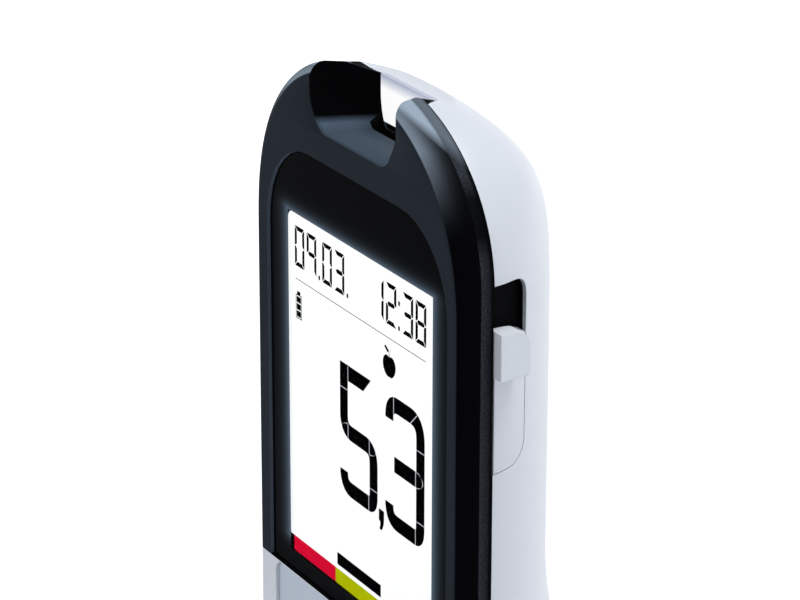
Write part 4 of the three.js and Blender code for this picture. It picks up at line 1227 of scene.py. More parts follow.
@dataclass
class StripScoop:
    """The scoop at the crown that leads a test strip in, with its lit light guide."""

    case: Case
    mouth_half: float = 5.72
    throat_half: float = 3.62
    throat_depth: float = 4.07
    floor: float = 118.3
    overrun: float = 3.0
    lip: float = 0.14
    liner: float = 1.0
    liner_back: float = 4.15
    liner_tail: float = 0.95
    guide_foot: float = 119.1
    guide_shoulder: float = 121.82
    guide_back: float = 4.37
    dip_depth: float = 4.25
    dip_low: float = 121.82
    dip_half: float = 4.2
    slot_half: float = 3.5
    slot_front: float = 3.2
    slot_foot: float = 110.0
    slot_top: float = 119.4
    corner_reach: Pair = (2.1, 0.85)
    corner_rise: Pair = (2.45, 2.3)
    corner_power: Pair = (1.6, 1.8)

    def channel(
        self,
        grow: float,
        front: float,
        back: float,
        top: float,
        finish: Material,
        tail: float = 0.0,
    ) -> Solid:
        """Make the scoop's space: a U that narrows with depth and flares at its front lip.

        The corner at the foot of each side is a superellipse quarter whose centre, half sizes and
        power change in line with depth from the mouth to the throat.

        Args:
            grow: how far every side is moved out.
            front: depth where it starts.
            back: depth where it ends.
            top: height of its open top.
            finish: the material.
            tail: radius of the rounding that draws its rear end in.

        Returns:
            The solid.
        """
        roll = np.sin(np.linspace(0.0, QUARTER_TURN, 7))
        depth = np.concatenate([[front], self.lip * roll, np.linspace(0.4, back, 9)])
        round_lip = self.lip * (1 - np.sin(np.arccos(1 - roll)))
        flare = np.concatenate([[self.lip], round_lip, np.zeros(9)])
        if front > 0:
            depth = np.linspace(front, back, 25)
            past = np.clip((depth - back + tail) / max(tail, 0.001), 0.0, 1.0)
            flare = -tail * (1 - np.sqrt(1 - past**2))
        share = np.clip(depth / self.throat_depth, -1.0, 2.0)[:, None]
        out = (flare + grow)[:, None]
        half = self.mouth_half + (self.throat_half - self.mouth_half) * share + out
        reach, rise, power = (
            mouth + (throat - mouth) * np.clip(share, 0, 1)
            for mouth, throat in (self.corner_reach, self.corner_rise, self.corner_power)
        )
        turn = np.linspace(0.0, QUARTER_TURN, 22)[::-1][None, :]
        foot = self.floor - out
        x = half - reach + reach * np.cos(turn) ** (2 / power)
        z = foot + rise * (1 - np.sin(turn) ** (2 / power))
        x = np.concatenate([x, half], axis=1)
        z = np.concatenate([z, np.full_like(half, top)], axis=1)
        right = np.stack([x, np.broadcast_to(depth[:, None], x.shape), z], axis=-1)
        return skin(mirrored(right), finish)

    def tools(self) -> tuple[Solid, ...]:
        """Give the tools that cut the scoop, the strip's slot and the light guide's pocket."""
        scoop_paint = self.case.finishes.scoop_satin
        inside = self.case.finishes.case_inside
        mouth = self.channel(0.0, -self.overrun, self.throat_depth, OPEN_TOP, scoop_paint)
        slot = block(
            (-self.slot_half, self.slot_front, self.slot_foot),
            (self.slot_half, self.throat_depth - 0.01, self.slot_top),
            inside,
        )
        pocket = self.channel(0.03, self.throat_depth - 0.005, 9.0, OPEN_TOP, scoop_paint)
        return (mouth, slot, pocket)

    def liner_block(self, grow: float) -> Solid:
        """Give the dark wall round the scoop, which runs back into the white shell."""
        finish = self.case.finishes.dark_face
        made = self.channel(
            self.liner + grow, 0.6, self.liner_back + grow, OPEN_TOP, finish, self.liner_tail
        )
        return made.keep(self.case.outer_dark)

    def dip(self, finish: Material) -> Solid:
        """Give the tool that dips the crown round the throat.

        Over its lowest point the cut rises towards the front along a rounded slope, towards the
        back with the square of the depth, and sideways with the square of how far x lies past a
        level middle.

        Args:
            finish: the material of the dipped surface.

        Returns:
            The tool.
        """
        depth = np.linspace(0.9, 7.6, 48)[:, None]
        x = np.concatenate([[0.02], np.linspace(0.4, 6.6, 26)])[None, :]
        ahead = np.maximum(self.dip_depth - depth, 0.0)
        behind = np.maximum(depth - self.dip_depth, 0.0)
        rise = np.sqrt((0.37 * ahead) ** 2 + 0.0025) - 0.05 + 0.1 * behind**2
        z = self.dip_low + rise + 0.35 * np.maximum(x - self.dip_half, 0.0) ** 2
        z = np.concatenate([z, np.full_like(depth, OPEN_TOP)], axis=1)
        x = np.broadcast_to(np.concatenate([x, x[:, -1:]], axis=1), z.shape)
        right = np.stack([x, np.broadcast_to(depth, z.shape), z], axis=-1)
        return skin(mirrored(right), finish)

    def guide(self) -> Solid:
        """Make the lit guide: a wall across the throat with a nearly level top below the crown."""
        finish = self.case.finishes.lit_guide
        wall = self.channel(-0.02, self.throat_depth, self.guide_back, OPEN_TOP, finish)
        wall.keep(self.case.outer_white)
        top = self.guide_shoulder
        foot = self.guide_foot - 0.4
        loop = np.array([
            [4.0, foot], [4.0, top - 0.02], [4.1, top], [4.2, top + 0.01], [9.0, top + 0.01],
            [9.0, foot],
        ])
        return wall.keep(prism(loop, -BEYOND, BEYOND, 0, finish))


def prism_faces(count: int) -> list:
    """List the faces of a prism between two loops of count points: the sides and both ends."""
    j = np.arange(count)
    after = (j + 1) % count
    sides = np.stack([j, after, after + count, j + count], axis=-1).tolist()
    return sides + [j[::-1].tolist(), (j + count).tolist()]


def prism(loop: np.ndarray, low: float, high: float, along: int, finish: Material) -> Solid:
    """Carry a flat loop along one axis.

    Args:
        loop: rows of the two other coordinates in axis order.
        low: where it starts.
        high: where it ends.
        along: the axis, 0 for x, 1 for depth, 2 for height.
        finish: the material.

    Returns:
        The prism.
    """
    others = [axis for axis in range(3) if axis != along]
    points = np.empty((2, len(loop), 3))
    points[:, :, others[0]] = loop[:, 0]
    points[:, :, others[1]] = loop[:, 1]
    points[0, :, along] = low
    points[1, :, along] = high
    return Solid(points.reshape(-1, 3), prism_faces(len(loop)), finish)


def rounded_loop(corners: np.ndarray, radii: np.ndarray, steps: int = 8) -> np.ndarray:
    """Round each corner of a loop with a quadratic curve that starts and ends a radius away.

    Args:
        corners: rows of two coordinates.
        radii: how far from each corner its curve starts.
        steps: points on each curve.

    Returns:
        The rounded loop.
    """
    before = np.roll(corners, 1, axis=0) - corners
    after = np.roll(corners, -1, axis=0) - corners
    reach_before = np.minimum(radii, np.linalg.norm(before, axis=1) * 0.49)[:, None]
    reach_after = np.minimum(radii, np.linalg.norm(after, axis=1) * 0.49)[:, None]
    start = corners + before / np.linalg.norm(before, axis=1)[:, None] * reach_before
    end = corners + after / np.linalg.norm(after, axis=1)[:, None] * reach_after
    t = np.linspace(0.0, 1.0, steps)[None, :, None]
    curve = (1 - t) ** 2 * start[:, None] + 2 * t * (1 - t) * corners[:, None] + t**2 * end[:, None]
    return curve.reshape(-1, 2)


@dataclass
class Ink:
    """Flat marks just in front of a surface, gathered as points and faces."""

    depth: float

    def __post_init__(self) -> None:
        """Start with no marks."""
        self.points: list[np.ndarray] = []
        self.faces: list[list[int]] = []
        self.count = 0

    def strip(self, left: np.ndarray, right: np.ndarray) -> None:
        """Add a band between two lines of as many points each."""
        n = len(left)
        flat = np.concatenate([left, right])
        self.points.append(np.stack([flat[:, 0], np.full(2 * n, self.depth), flat[:, 1]], axis=1))
        j = np.arange(n - 1) + self.count
        self.faces += np.stack([j, j + 1, j + 1 + n, j + n], axis=-1).tolist()
        self.count += 2 * n

    def patch(self, loop: np.ndarray) -> None:
        """Add one filled loop."""
        self.points.append(
            np.stack([loop[:, 0], np.full(len(loop), self.depth), loop[:, 1]], axis=1)
        )
        self.faces.append((np.arange(len(loop)) + self.count).tolist())
        self.count += len(loop)

    def bar(self, x0: float, x1: float, z0: float, z1: float) -> None:
        """Add a straight-sided mark."""
        self.patch(np.array([[x0, z0], [x1, z0], [x1, z1], [x0, z1]]))

    def stroke(
        self, path: np.ndarray, width: float, radii: np.ndarray, cuts: Pair = (0.0, 0.0)
    ) -> None:
        """Add a stroke of one width along a path with rounded corners.

        The middle line is rounded first, then each side lies half a width off it, square to its
        direction. Each end is cut aslant by moving one of its sides along the stroke.

        Args:
            path: rows of x and z through the corners.
            width: the stroke's width.
            radii: how far from each corner its curve starts, nothing at the two ends.
            cuts: how far the right side runs on past the left at the start and at the end.
        """
        lines = [path[:1]]
        for k in range(1, len(path) - 1):
            if radii[k] <= 0.0:
                lines.append(path[k : k + 1])
                continue
            back, on = path[k - 1] - path[k], path[k + 1] - path[k]
            start = path[k] + back / np.linalg.norm(back) * radii[k]
            end = path[k] + on / np.linalg.norm(on) * radii[k]
            t = np.linspace(0.0, 1.0, 9)[:, None]
            lines.append((1 - t) ** 2 * start + 2 * t * (1 - t) * path[k] + t**2 * end)
        lines.append(path[-1:])
        line = np.concatenate(lines)
        step = np.diff(line, axis=0)
        step /= np.linalg.norm(step, axis=1)[:, None]
        before = np.concatenate([step[:1], step])
        after = np.concatenate([step, step[-1:]])
        mean = before + after
        mean /= np.linalg.norm(mean, axis=1)[:, None]
        square = np.stack([-mean[:, 1], mean[:, 0]], axis=1)
        spread = width / 2 / np.maximum(np.einsum("ij,ij->i", mean, before), 0.5)
        left = line + square * spread[:, None]
        right = line - square * spread[:, None]
        right[0] -= step[0] * cuts[0]
        right[-1] += step[-1] * cuts[1]
        self.strip(left, right)

    def made(self, finish: Material) -> Solid:
        """Put all marks into one mesh that faces forwards."""
        sheet = Solid.__new__(Solid)
        mesh = bpy.data.meshes.new("ink")
        mesh.from_pydata(np.concatenate(self.points).tolist(), [], self.faces)
        mesh.materials.append(finish)
        mesh.update()
        normals = np.empty(len(mesh.polygons) * 3)
        mesh.polygons.foreach_get("normal", normals)
        backward = np.flatnonzero(normals.reshape(-1, 3)[:, 1] > 0)
        faces = list(self.faces)
        for k in backward:
            faces[k] = faces[k][::-1]
        mesh.clear_geometry()
        mesh.from_pydata(np.concatenate(self.points).tolist(), [], faces)
        mesh.update()
        sheet.thing = placed("ink", mesh)
        return sheet


# The bars of a seven-bar digit that each shown number has.
SEGMENTS = {0: "abcdef", 1: "bc", 2: "abged", 3: "abgcd", 8: "abcdefg", 9: "abcfg"}


@dataclass(frozen=True)
class SmallDigit:
    """A seven-bar digit of the small rows; its bars have slanted ends and hairline gaps."""

    left: float
    foot: float
    width: float = 1.39
    height: float = 2.83
    stroke: float = 0.31
    gap: float = 0.045

    def bars(self) -> dict[str, np.ndarray]:
        """Work out each bar's corners from the cell's size.

        Returns:
            The loops by bar name.
        """
        w, h, s, g = self.width, self.height, self.stroke, self.gap
        middle = h / 2
        level = np.array([[g, 0.0], [w - g, 0.0], [w - g - s, s], [g + s, s]])
        upright = np.array(
            [[0.0, g], [s, g + s], [s, middle - g - s / 2], [s / 2, middle - g], [0.0, middle - g]]
        )
        across = np.array([
            [g + s / 2, 0.0], [g + s, s / 2], [w - g - s, s / 2], [w - g - s / 2, 0.0],
            [w - g - s, -s / 2], [g + s, -s / 2],
        ])
        flip_x, flip_z = np.array([-1.0, 1.0]), np.array([1.0, -1.0])
        return {
            "d": level, "a": level * flip_z + np.array([0.0, h]), "e": upright,
            "f": upright * flip_z + np.array([0.0, h]), "c": upright * flip_x + np.array([w, 0.0]),
            "b": upright * flip_x * flip_z + np.array([w, h]),
            "g": across + np.array([0.0, middle]),
        }

    def draw(self, ink: Ink, number: int) -> None:
        """Add the number's bars to the ink."""
        bars = self.bars()
        for name in SEGMENTS[number]:
            ink.patch(bars[name] + np.array([self.left, self.foot]))


def case_screw(
    placement: Placement,
    finish: Material,
    centre: Pair,
    seat: float,
    node: str,
    body: str,
) -> None:
    """Make a cross-headed screw from the back: a domed head, a shank and a cross cut into the head.

    The head's edge is a quarter round. The profile runs from the tip to the top of the head.

    Args:
        placement: where pieces go.
        finish: the metal.
        centre: the screw's x and height.
        seat: depth that its head rests on.
        node: the CAD node it stands for.
        body: the body it rides on.
    """
    top = seat + 0.3 + 1.1
    roll = np.linspace(0.0, QUARTER_TURN, 6)
    edge = np.stack([1.7 - 0.35 * (1 - np.cos(roll)), top - 0.35 + 0.35 * np.sin(roll)], axis=1)
    thread = np.array([[0.55, 2.3], [0.7, 2.7]])
    heights = np.linspace(2.9, seat - 0.4, 34)
    winding = np.stack([0.62 + 0.08 * (np.arange(34) % 2), heights], axis=1)
    profile = np.concatenate([thread, winding, [[0.7, seat + 0.3], [1.7, seat + 0.3]], edge])
    made = turned(profile, centre, Axis.BACK, finish, 36)
    x, z = centre
    arms = [
        block((x - 0.95, top - 0.6, z - 0.16), (x + 0.95, top + 1.0, z + 0.16), finish),
        block((x - 0.16, top - 0.6, z - 0.95), (x + 0.16, top + 1.0, z + 0.95), finish),
    ]
    made.cut(*arms)
    placement.settle(made, node + "_turned", body, "plated_steel", node)


@dataclass
class Assembly:
    """A sub-assembly cut from the case, with the shapes that more than one of them has."""

    case: Case
    placement: Placement

    def plug_room(self, front: float, foot: float) -> Solid:
        """Give the tool that clears the computer plug between the two units."""
        return block((-6.3, front, foot), (6.3, 7.85, 47.6), self.case.finishes.case_inside)

    def pair(self, radius: float, low: float, high: float, x: float, z: float) -> list[Solid]:
        """Give two round tools that run back, as far left as right."""
        white = self.case.finishes.white_case
        return [bar(radius, low, high, (side * x, z), Axis.BACK, white) for side in (-1.0, 1.0)]

    def screws(self, x: float, z: float, seat: float, name: str, body: str) -> None:
        """Make the left and the right screw of a shell."""
        steel = self.case.finishes.plated_steel
        for side, place in (("left", -x), ("right", x)):
            case_screw(self.placement, steel, (place, z), seat, f"{name}_{side}", body)


@dataclass
class Display(Assembly):
    """The glossy window, the lit display behind it and what the display shows."""

    depth: float = 0.42
    right: float = 9.9
    foot: float = 87.68
    top: float = 111.3
    print_foot: float = 86.58
    change: float = -3.28
    pane: Outline = Outline(12.3, 85.3, 116.14, 6.05, 0.05, 0.12)
    bezel: Outline = Outline(10.5, 86.9, 112.1, 0.6, 0.6)
    clear_right: float = 0.36
    clear_up: float = 0.14
    scale_half: float = 9.4

    def window(self) -> None:
        """Make the window's plate, clear a little right of and above the deeper display."""
        left = self.placement.middle - (self.right - self.clear_right) * MILLIMETRE
        right = self.placement.middle + (self.right + self.clear_right) * MILLIMETRE
        low = (left, self.print_foot * MILLIMETRE)
        high = (right, (self.top + self.clear_up) * MILLIMETRE)
        glow = srgb(88, 103, 118)
        finish = DisplayWindow(
            "window_black", low, high, self.foot * MILLIMETRE, glow, 0.0005
        ).make()
        pane = plate(self.pane, 0.22, 0.4, finish, front_round=0.04)
        self.placement.settle(pane, "window_pane", "meter_body", "window_black", "display_window")

    def panel(self) -> None:
        """Make the display's glass, lit over its front face, in a black frame."""
        finishes = self.case.finishes
        frame_block = plate(self.bezel, 0.62, 2.1, finishes.black_plastic, front_round=0.1)
        self.placement.settle(
            frame_block, "display_frame", "meter_body", "black_plastic", "lcd_panel"
        )
        outline = Outline(self.right, self.foot, self.top, 0.6, 0.1)
        lit = plate(outline, self.depth, 0.6, finishes.lit_panel)
        self.placement.settle(lit, "lit_display", "meter_body", "lit_panel")

    def colour_bar(self) -> None:
        """Print the two-coloured scale under the lit area."""
        for name, x0, x1, finish in (
            ("scale_red", -self.scale_half, self.change, self.case.finishes.ink_red),
            ("scale_green", self.change, self.scale_half, self.case.finishes.ink_green),
        ):
            ink = Ink(self.depth)
            ink.bar(x0, x1, self.print_foot, self.foot)
            self.placement.settle(ink.made(finish), name, "meter_body", "lit_panel")

    def large_figures(self, ink: Ink) -> None:
        """Draw the reading: a five, a comma and a three, each figure one stroke of even width."""
        w = 1.1
        half = w / 2
        left, right, middle = -2.53 + half, 2.69 - half, 98.22
        foot, top = 93.61 + half, 102.93 - half
        five = np.array([
            [0.72, top], [left, top], [left, middle], [right, middle], [right, foot],
            [left, foot], [left, 95.29],
        ])
        ink.stroke(five, w, np.array([0.0, 0.0, 1.1, 1.15, 0.75, 1.1, 0.0]), (1.05, 0.0))
        left, right = 3.75 + half, 8.97 - half
        three = np.array(
            [[left, 101.18], [left, top], [right, top], [right, foot], [left, foot], [left, 95.29]]
        )
        ink.stroke(three, w, np.array([0.0, 1.05, 1.4, 0.8, 1.1, 0.0]))
        ink.stroke(np.array([[4.95, middle], [8.6, middle]]), w, np.zeros(2))
        ink.strip(
            np.array([[2.86, 94.35], [2.86, 93.55], [3.04, 93.46], [3.06, 93.25], [2.95, 92.93]]),
            np.array([[3.58, 94.35], [3.58, 93.75], [3.54, 93.45], [3.42, 93.14], [3.22, 92.88]]),
        )

    def small_rows(self, ink: Ink) -> None:
        """Draw the date and the time in seven-bar digits, with their points and colon."""
        digits = zip((-8.93, -7.2, -4.98, -3.25, 2.12, 3.81, 6.02, 7.71), (0, 9, 0, 3, 1, 2, 3, 8))
        for left, number in digits:
            SmallDigit(left, 107.63).draw(ink, number)
        for x, z in ((-5.41, 107.78), (-1.44, 107.78), (5.56, 107.8), (5.56, 109.49)):
            ink.bar(x - 0.12, x + 0.12, z - 0.15, z + 0.15)

    def pictures(self, ink: Ink) -> None:
        """Draw the battery with three bars, the fruit sign, the scale's marker and the rule."""
        x0, x1, z0, z1 = -8.85, -7.98, 103.9, 105.62
        line = 0.07
        ink.bar(x0, x1, z0, z0 + line)
        ink.bar(x0, x1, z1 - line, z1)
        ink.bar(x0, x0 + line, z0, z1)
        ink.bar(x1 - line, x1, z0, z1)
        ink.bar(x0 + 0.2, x1 - 0.2, z1, z1 + 0.24)
        for k in range(3):
            ink.bar(x0 + 0.12, x1 - 0.12, z0 + 0.13 + k * 0.51, z0 + 0.56 + k * 0.51)
        turn = np.linspace(0.0, 2 * HALF_TURN, 49)[:-1]
        dent = 1 - 0.2 * np.exp(-((turn - QUARTER_TURN) ** 2) / 0.08) - 0.07 * np.exp(
            -((turn - 3 * QUARTER_TURN) ** 2) / 0.05
        )
        wide = 0.86 * (1 + 0.1 * np.sin(turn))
        ink.patch(
            np.stack(
                [4.26 + wide * dent * np.cos(turn), 104.78 + 0.79 * dent * np.sin(turn)], axis=1
            )
        )
        ink.strip(
            np.array([[3.58, 105.97], [4.06, 105.66]]), np.array([[3.76, 106.12], [4.24, 105.84]])
        )
        ink.strip(
            np.array([[4.12, 105.8], [4.24, 105.35], [4.4, 106.0]]),
            np.array([[4.17, 105.8], [4.28, 105.3], [4.44, 106.0]]),
        )
        ink.bar(-3.02, 3.13, 88.0, 88.9)
        ink.bar(-8.86, 9.04, 106.675, 106.73)

    def hairlines(self) -> Ink:
        """Draw the thin joints between the bars of the large figures, straight ones and arcs."""
        ink = Ink(self.depth - 0.012)
        for x, z0, z1 in (
            (-1.4, 101.62, 102.84), (-1.4, 97.67, 98.77), (1.56, 97.67, 98.77),
            (1.48, 93.63, 94.73), (4.86, 101.2, 102.84), (7.8, 97.67, 98.77), (7.8, 93.63, 94.73),
        ):
            ink.bar(x - 0.028, x + 0.028, z0, z1)
        for x0, x1, z in (
            (-2.53, -1.43, 101.16), (1.58, 2.68, 95.32), (7.87, 8.97, 100.3), (7.87, 8.97, 95.34)
        ):
            ink.bar(x0, x1, z - 0.022, z + 0.022)
        for x, start, end in ((-1.4, 1.0, 1.8), (1.56, -1.0, -0.2), (7.8, -1.0, 1.0)):
            turn = np.linspace(start, end, 17) * QUARTER_TURN
            arc = np.stack([np.cos(turn), np.sin(turn)], axis=1)
            middle = np.array([x, 98.22])
            ink.strip(middle + arc * (0.92, 0.57), middle + arc * (0.98, 0.53))
        ink.strip(
            np.array([[8.08, 102.82], [7.06, 101.85]]), np.array([[8.12, 102.79], [7.1, 101.82]])
        )
        return ink

    def build(self) -> None:
        """Make the window, the display and everything it shows."""
        self.window()
        self.panel()
        self.colour_bar()
        ink = Ink(self.depth - 0.006)
        self.large_figures(ink)
        self.small_rows(ink)
        self.pictures(ink)
        self.placement.settle(
            ink.made(self.case.finishes.ink_black), "display_figures", "meter_body", "black_plastic"
        )
        self.placement.settle(
            self.hairlines().made(self.case.finishes.ink_line), "display_lines", "meter_body",
            "grip_grey",
        )


@dataclass
class DarkHead(Assembly):
    """The dark front shell with the scoop, the window's seat and the light guide."""

    foot: float = 85.25
    floor: Box = ((-4.6, 1.0, 116.6), (4.6, 4.05, 119.0))
    hole: Box = ((-10.8, 0.0, 86.6), (10.8, 9.0, 112.4))
    seat: Outline = Outline(12.36, 60.0, 116.2, 6.1, 0.1, 0.12)
    seat_depth: float = 0.6

    def build(self) -> None:
        """Cut the shell, join the scoop's liner, then cut the scoop, seat and display's hole."""
        finishes = self.case.finishes
        scoop = StripScoop(self.case)
        outer = self.case.outer_dark
        shell = self.case.shell(outer, (BEFORE, FRONT_BACK), (self.foot, BEYOND), ((40.0, BEYOND),))
        shell.join(scoop.liner_block(0.0), block(*self.floor, finishes.dark_face))
        # The seat's walls take the lighter finish, a painted highlight.
        seat = plate(self.seat, AHEAD, self.seat_depth, finishes.seat_edge)
        hole = block(*self.hole, finishes.case_inside)
        shell.cut(seat, hole, *scoop.tools(), scoop.dip(finishes.dark_face))
        self.placement.settle(shell, "front_shell_skin", "meter_body", "dark_case", "front_shell")
        self.placement.settle(
            scoop.guide(), "light_guide_skin", "meter_body", "lit_panel", "strip_light_guide"
        )


@dataclass
class SideSlider(Assembly):
    """The push-up slider in its opening on the right side."""

    root: float = 11.95
    plate_front: float = 2.56
    plate_back: float = 5.42
    plate_foot: float = 100.38
    opening_top: float = 112.85
    thumb_foot: float = 106.87
    thumb_top: float = 109.95
    thumb_back: float = 4.6
    thumb_root: float = 13.35
    reach: float = 14.8
    lip: float = 12.35
    clearance: float = 0.06
    opening_round: float = 1.35
    arm_front: float = 3.75
    arm_back: float = 4.55
    shield: Box = ((11.76, 2.62, 107.0), (11.93, 5.3, 113.0))
    web: Box = ((11.8, 2.62, 107.0), (12.3, 5.3, 109.1))

    def side_prism(
        self,
        grow: float,
        foot: float,
        top: float,
        top_round: float,
        x0: float,
        x1: float,
        finish: Material,
    ) -> Solid:
        """Carry the opening's shape, seen from the side, along x.

        Args:
            grow: how far its rear, foot and top are moved out.
            foot: height of its foot.
            top: height of its top.
            top_round: radius of its upper rear corner.
            x0: where it starts.
            x1: where it ends.
            finish: the material.

        Returns:
            The prism.
        """
        front, back = 2.0, self.plate_back + grow
        low = foot - grow
        corners = np.array([
            [front, low], [back - 0.95, low + 0.18], [back, low + 1.05], [back, top + grow],
            [front, top + grow],
        ])
        loop = rounded_loop(corners, np.array([0.01, 0.5, 0.62, top_round, 0.01]))
        return prism(loop, x0, x1, 0, finish)

    def openings(self) -> list[Solid]:
        """Give the tools that cut the opening into the white shell, and its inner part, painted
        dark as shade.
        """
        finishes = self.case.finishes
        return [
            self.side_prism(
                self.clearance, self.plate_foot, self.opening_top, self.opening_round, x0, x1,
                finish,
            )
            for x0, x1, finish in (
                (self.lip, 20.0, finishes.white_case),
                (self.root - 0.25, self.lip + 0.005, finishes.case_inside),
            )
        ]

    def build(self) -> None:
        """Make the flush plate, the thumb piece and the arm that lifts the strip."""
        finish = self.case.finishes.grip_grey
        tail = self.case.outer_white.copy()
        mark = self.side_prism(
            0.0, self.plate_foot, self.thumb_top - 0.75, 0.3, self.root, 20.0, finish
        )
        front = block((-20.0, self.plate_front, 90.0), (20.0, 12.0, 120.0), finish)
        tail.keep(mark, front)
        foot, top, rear = self.thumb_foot, self.thumb_top, self.thumb_back
        side = np.array([
            [self.plate_front - 0.04, foot], [rear, foot + 0.16], [rear, top],
            [self.plate_front - 0.04, top],
        ])
        thumb = prism(
            rounded_loop(side, np.array([0.04, 0.22, 1.05, 0.04])), self.thumb_root, self.reach, 0,
            finish,
        )
        arm = block((-2.0, self.arm_front, 107.3), (self.root + 0.8, self.arm_back, 109.0), finish)
        # The web and the thin shield behind the opening are near black, a painted shade for the
        # dark inside it.
        web, shield = (
            block(*box, self.case.finishes.case_inside) for box in (self.web, self.shield)
        )
        tail.join(thumb, arm, web, shield)
        self.placement.settle(
            tail, "ejector_thumb_slider", "strip_ejector", "grip_grey", "ejector_slider"
        )


@dataclass
class RearHalf(Assembly):
    """The white rear shell with its openings, the battery door and the case screws."""

    screw_x: float = 8.2
    screw_z: float = 80.0
    screw_seat: float = 9.0
    door: Outline = Outline(10.86, 46.46, 70.54, 4.0, 4.0)
    door_front: float = 10.0
    pocket: Box = ((11.0, 2.5, 112.0), (11.99, 5.4, 115.8))

    def whole(self) -> Solid:
        """Give the rear shell before anything is cut into it."""
        heights = (METER_FOOT, BEYOND)
        return self.case.shell(
            self.case.outer_white, (REAR_FRONT, BEYOND), heights, ((METER_FLOOR, BEYOND),)
        )

    def build(self) -> None:
        """Cut the shell and the door and turn the screws."""
        finishes = self.case.finishes
        white = finishes.white_case
        scoop = StripScoop(self.case)
        shell = self.whole()
        bosses = self.pair(2.5, 6.0, THROUGH, self.screw_x, self.screw_z)
        shell.join(*[boss.keep(self.case.outer_white) for boss in bosses])
        liner = scoop.liner_block(0.03)
        throat = scoop.channel(0.0, 3.0, scoop.guide_back + 0.02, OPEN_TOP, white)
        door_hole = plate(self.door.grown(0.06), self.door_front, THROUGH, white)
        plug = self.plug_room(2.0, 40.0)
        wells = [
            bar(radius, low, THROUGH, (x, self.screw_z), Axis.BACK, white)
            for x in (-self.screw_x, self.screw_x)
            for radius, low in ((1.9, self.screw_seat), (0.9, 2.0))
        ]
        slides = SideSlider(self.case, self.placement).openings()
        pocket = block(*self.pocket, finishes.case_inside)
        shell.cut(scoop.dip(white), liner, throat, *slides, pocket, door_hole, plug, *wells)
        self.placement.settle(shell, "rear_shell_skin", "meter_body", "white_case", "rear_shell")
        self.battery_door()
        self.screws(self.screw_x, self.screw_z, self.screw_seat, "case_screw", "meter_body")

    def battery_door(self) -> None:
        """Cut the door out of the same skin and give it a row of thumb grooves."""
        white = self.case.finishes.white_case
        shell = self.whole()
        shell.keep(plate(self.door, self.door_front, THROUGH, white))
        grooves = [
            Outline(3.4 - 0.45 * k, 66.4 - 1.1 * k, 66.95 - 1.1 * k, 0.27, 0.27) for k in range(4)
        ]
        shell.cut(*[plate(groove, 15.75, THROUGH, white) for groove in grooves])
        self.placement.settle(
            shell, "battery_door_skin", "battery_door", "white_case", "battery_door"
        )


@dataclass
class Keypad(Assembly):
    """The white lower front with its pale panel and the two keys."""

    panel: Outline = Outline(11.4, 50.0, 85.02, 0.75, 1.5)
    top: float = 85.2
    key_half: float = 7.0
    key_height: float = 8.0
    corner: float = 3.9
    up_middle: float = 72.0
    down_middle: float = 61.0

    def key_outline(self, middle: float) -> Outline:
        """Give a key's outline round its middle height."""
        return Outline(
            self.key_half, middle - self.key_height / 2, middle + self.key_height / 2, self.corner,
            self.corner,
        )

    def build(self) -> None:
        """Cut the housing, lay the panel in and fit both keys with their marks."""
        finishes = self.case.finishes
        white = finishes.white_case
        depths, heights = (BEFORE, FRONT_BACK), (METER_FOOT, self.top)
        housing = self.case.shell(self.case.outer_white, depths, heights, ((METER_FLOOR, BEYOND),))
        seat = plate(self.panel.grown(0.08), AHEAD, 1.0, white)
        plug = self.plug_room(2.0, 40.0)
        middles = (self.up_middle, self.down_middle)
        holes = [plate(self.key_outline(z).grown(0.12), AHEAD, -AHEAD, white) for z in middles]
        bosses = self.pair(2.0, 1.2, 4.6, RearHalf.screw_x, RearHalf.screw_z)
        bores = self.pair(0.9, 2.2, 9.0, RearHalf.screw_x, RearHalf.screw_z)
        housing.cut(seat).join(*bosses).cut(plug, *holes, *bores)
        self.placement.settle(
            housing, "keypad_housing_skin", "meter_body", "white_case", "lower_front_housing"
        )
        panel = plate(self.panel, 0.2, 0.95, finishes.pale_panel, front_round=0.06)
        panel.cut(*holes)
        self.placement.settle(panel, "key_panel_skin", "meter_body", "pale_panel", "key_panel")
        self.key("key_up", "button_up", self.up_middle, 1.0)
        self.key("key_down", "button_down", self.down_middle, -1.0)

    def key(self, body: str, node: str, middle: float, way: float) -> None:
        """Make one key: a rolled cap, its flange and stem, with an arrow let into its face.

        Args:
            body: the body it rides on.
            node: the CAD node it stands for.
            middle: height of its middle.
            way: 1 for an arrow up and -1 for one down.
        """
        finishes = self.case.finishes
        outline = self.key_outline(middle)
        cap = plate(outline, 0.1, 2.3, finishes.grip_grey, front_round=0.35)
        flange = plate(outline.grown(1.0), 2.1, 2.6, finishes.grip_grey)
        cap.join(flange, bar(1.5, 2.2, 3.2, (0.0, middle), Axis.BACK, finishes.grip_grey))
        arrow = np.array(
            [[-1.5, middle - 0.85 * way], [1.5, middle - 0.85 * way], [0.0, middle + 1.15 * way]]
        )
        cap.cut(prism(rounded_loop(arrow, np.full(3, 0.3)), BEFORE, 0.2, 1, finishes.mark_grey))
        self.placement.settle(cap, node + "_cap", body, "grip_grey", node)


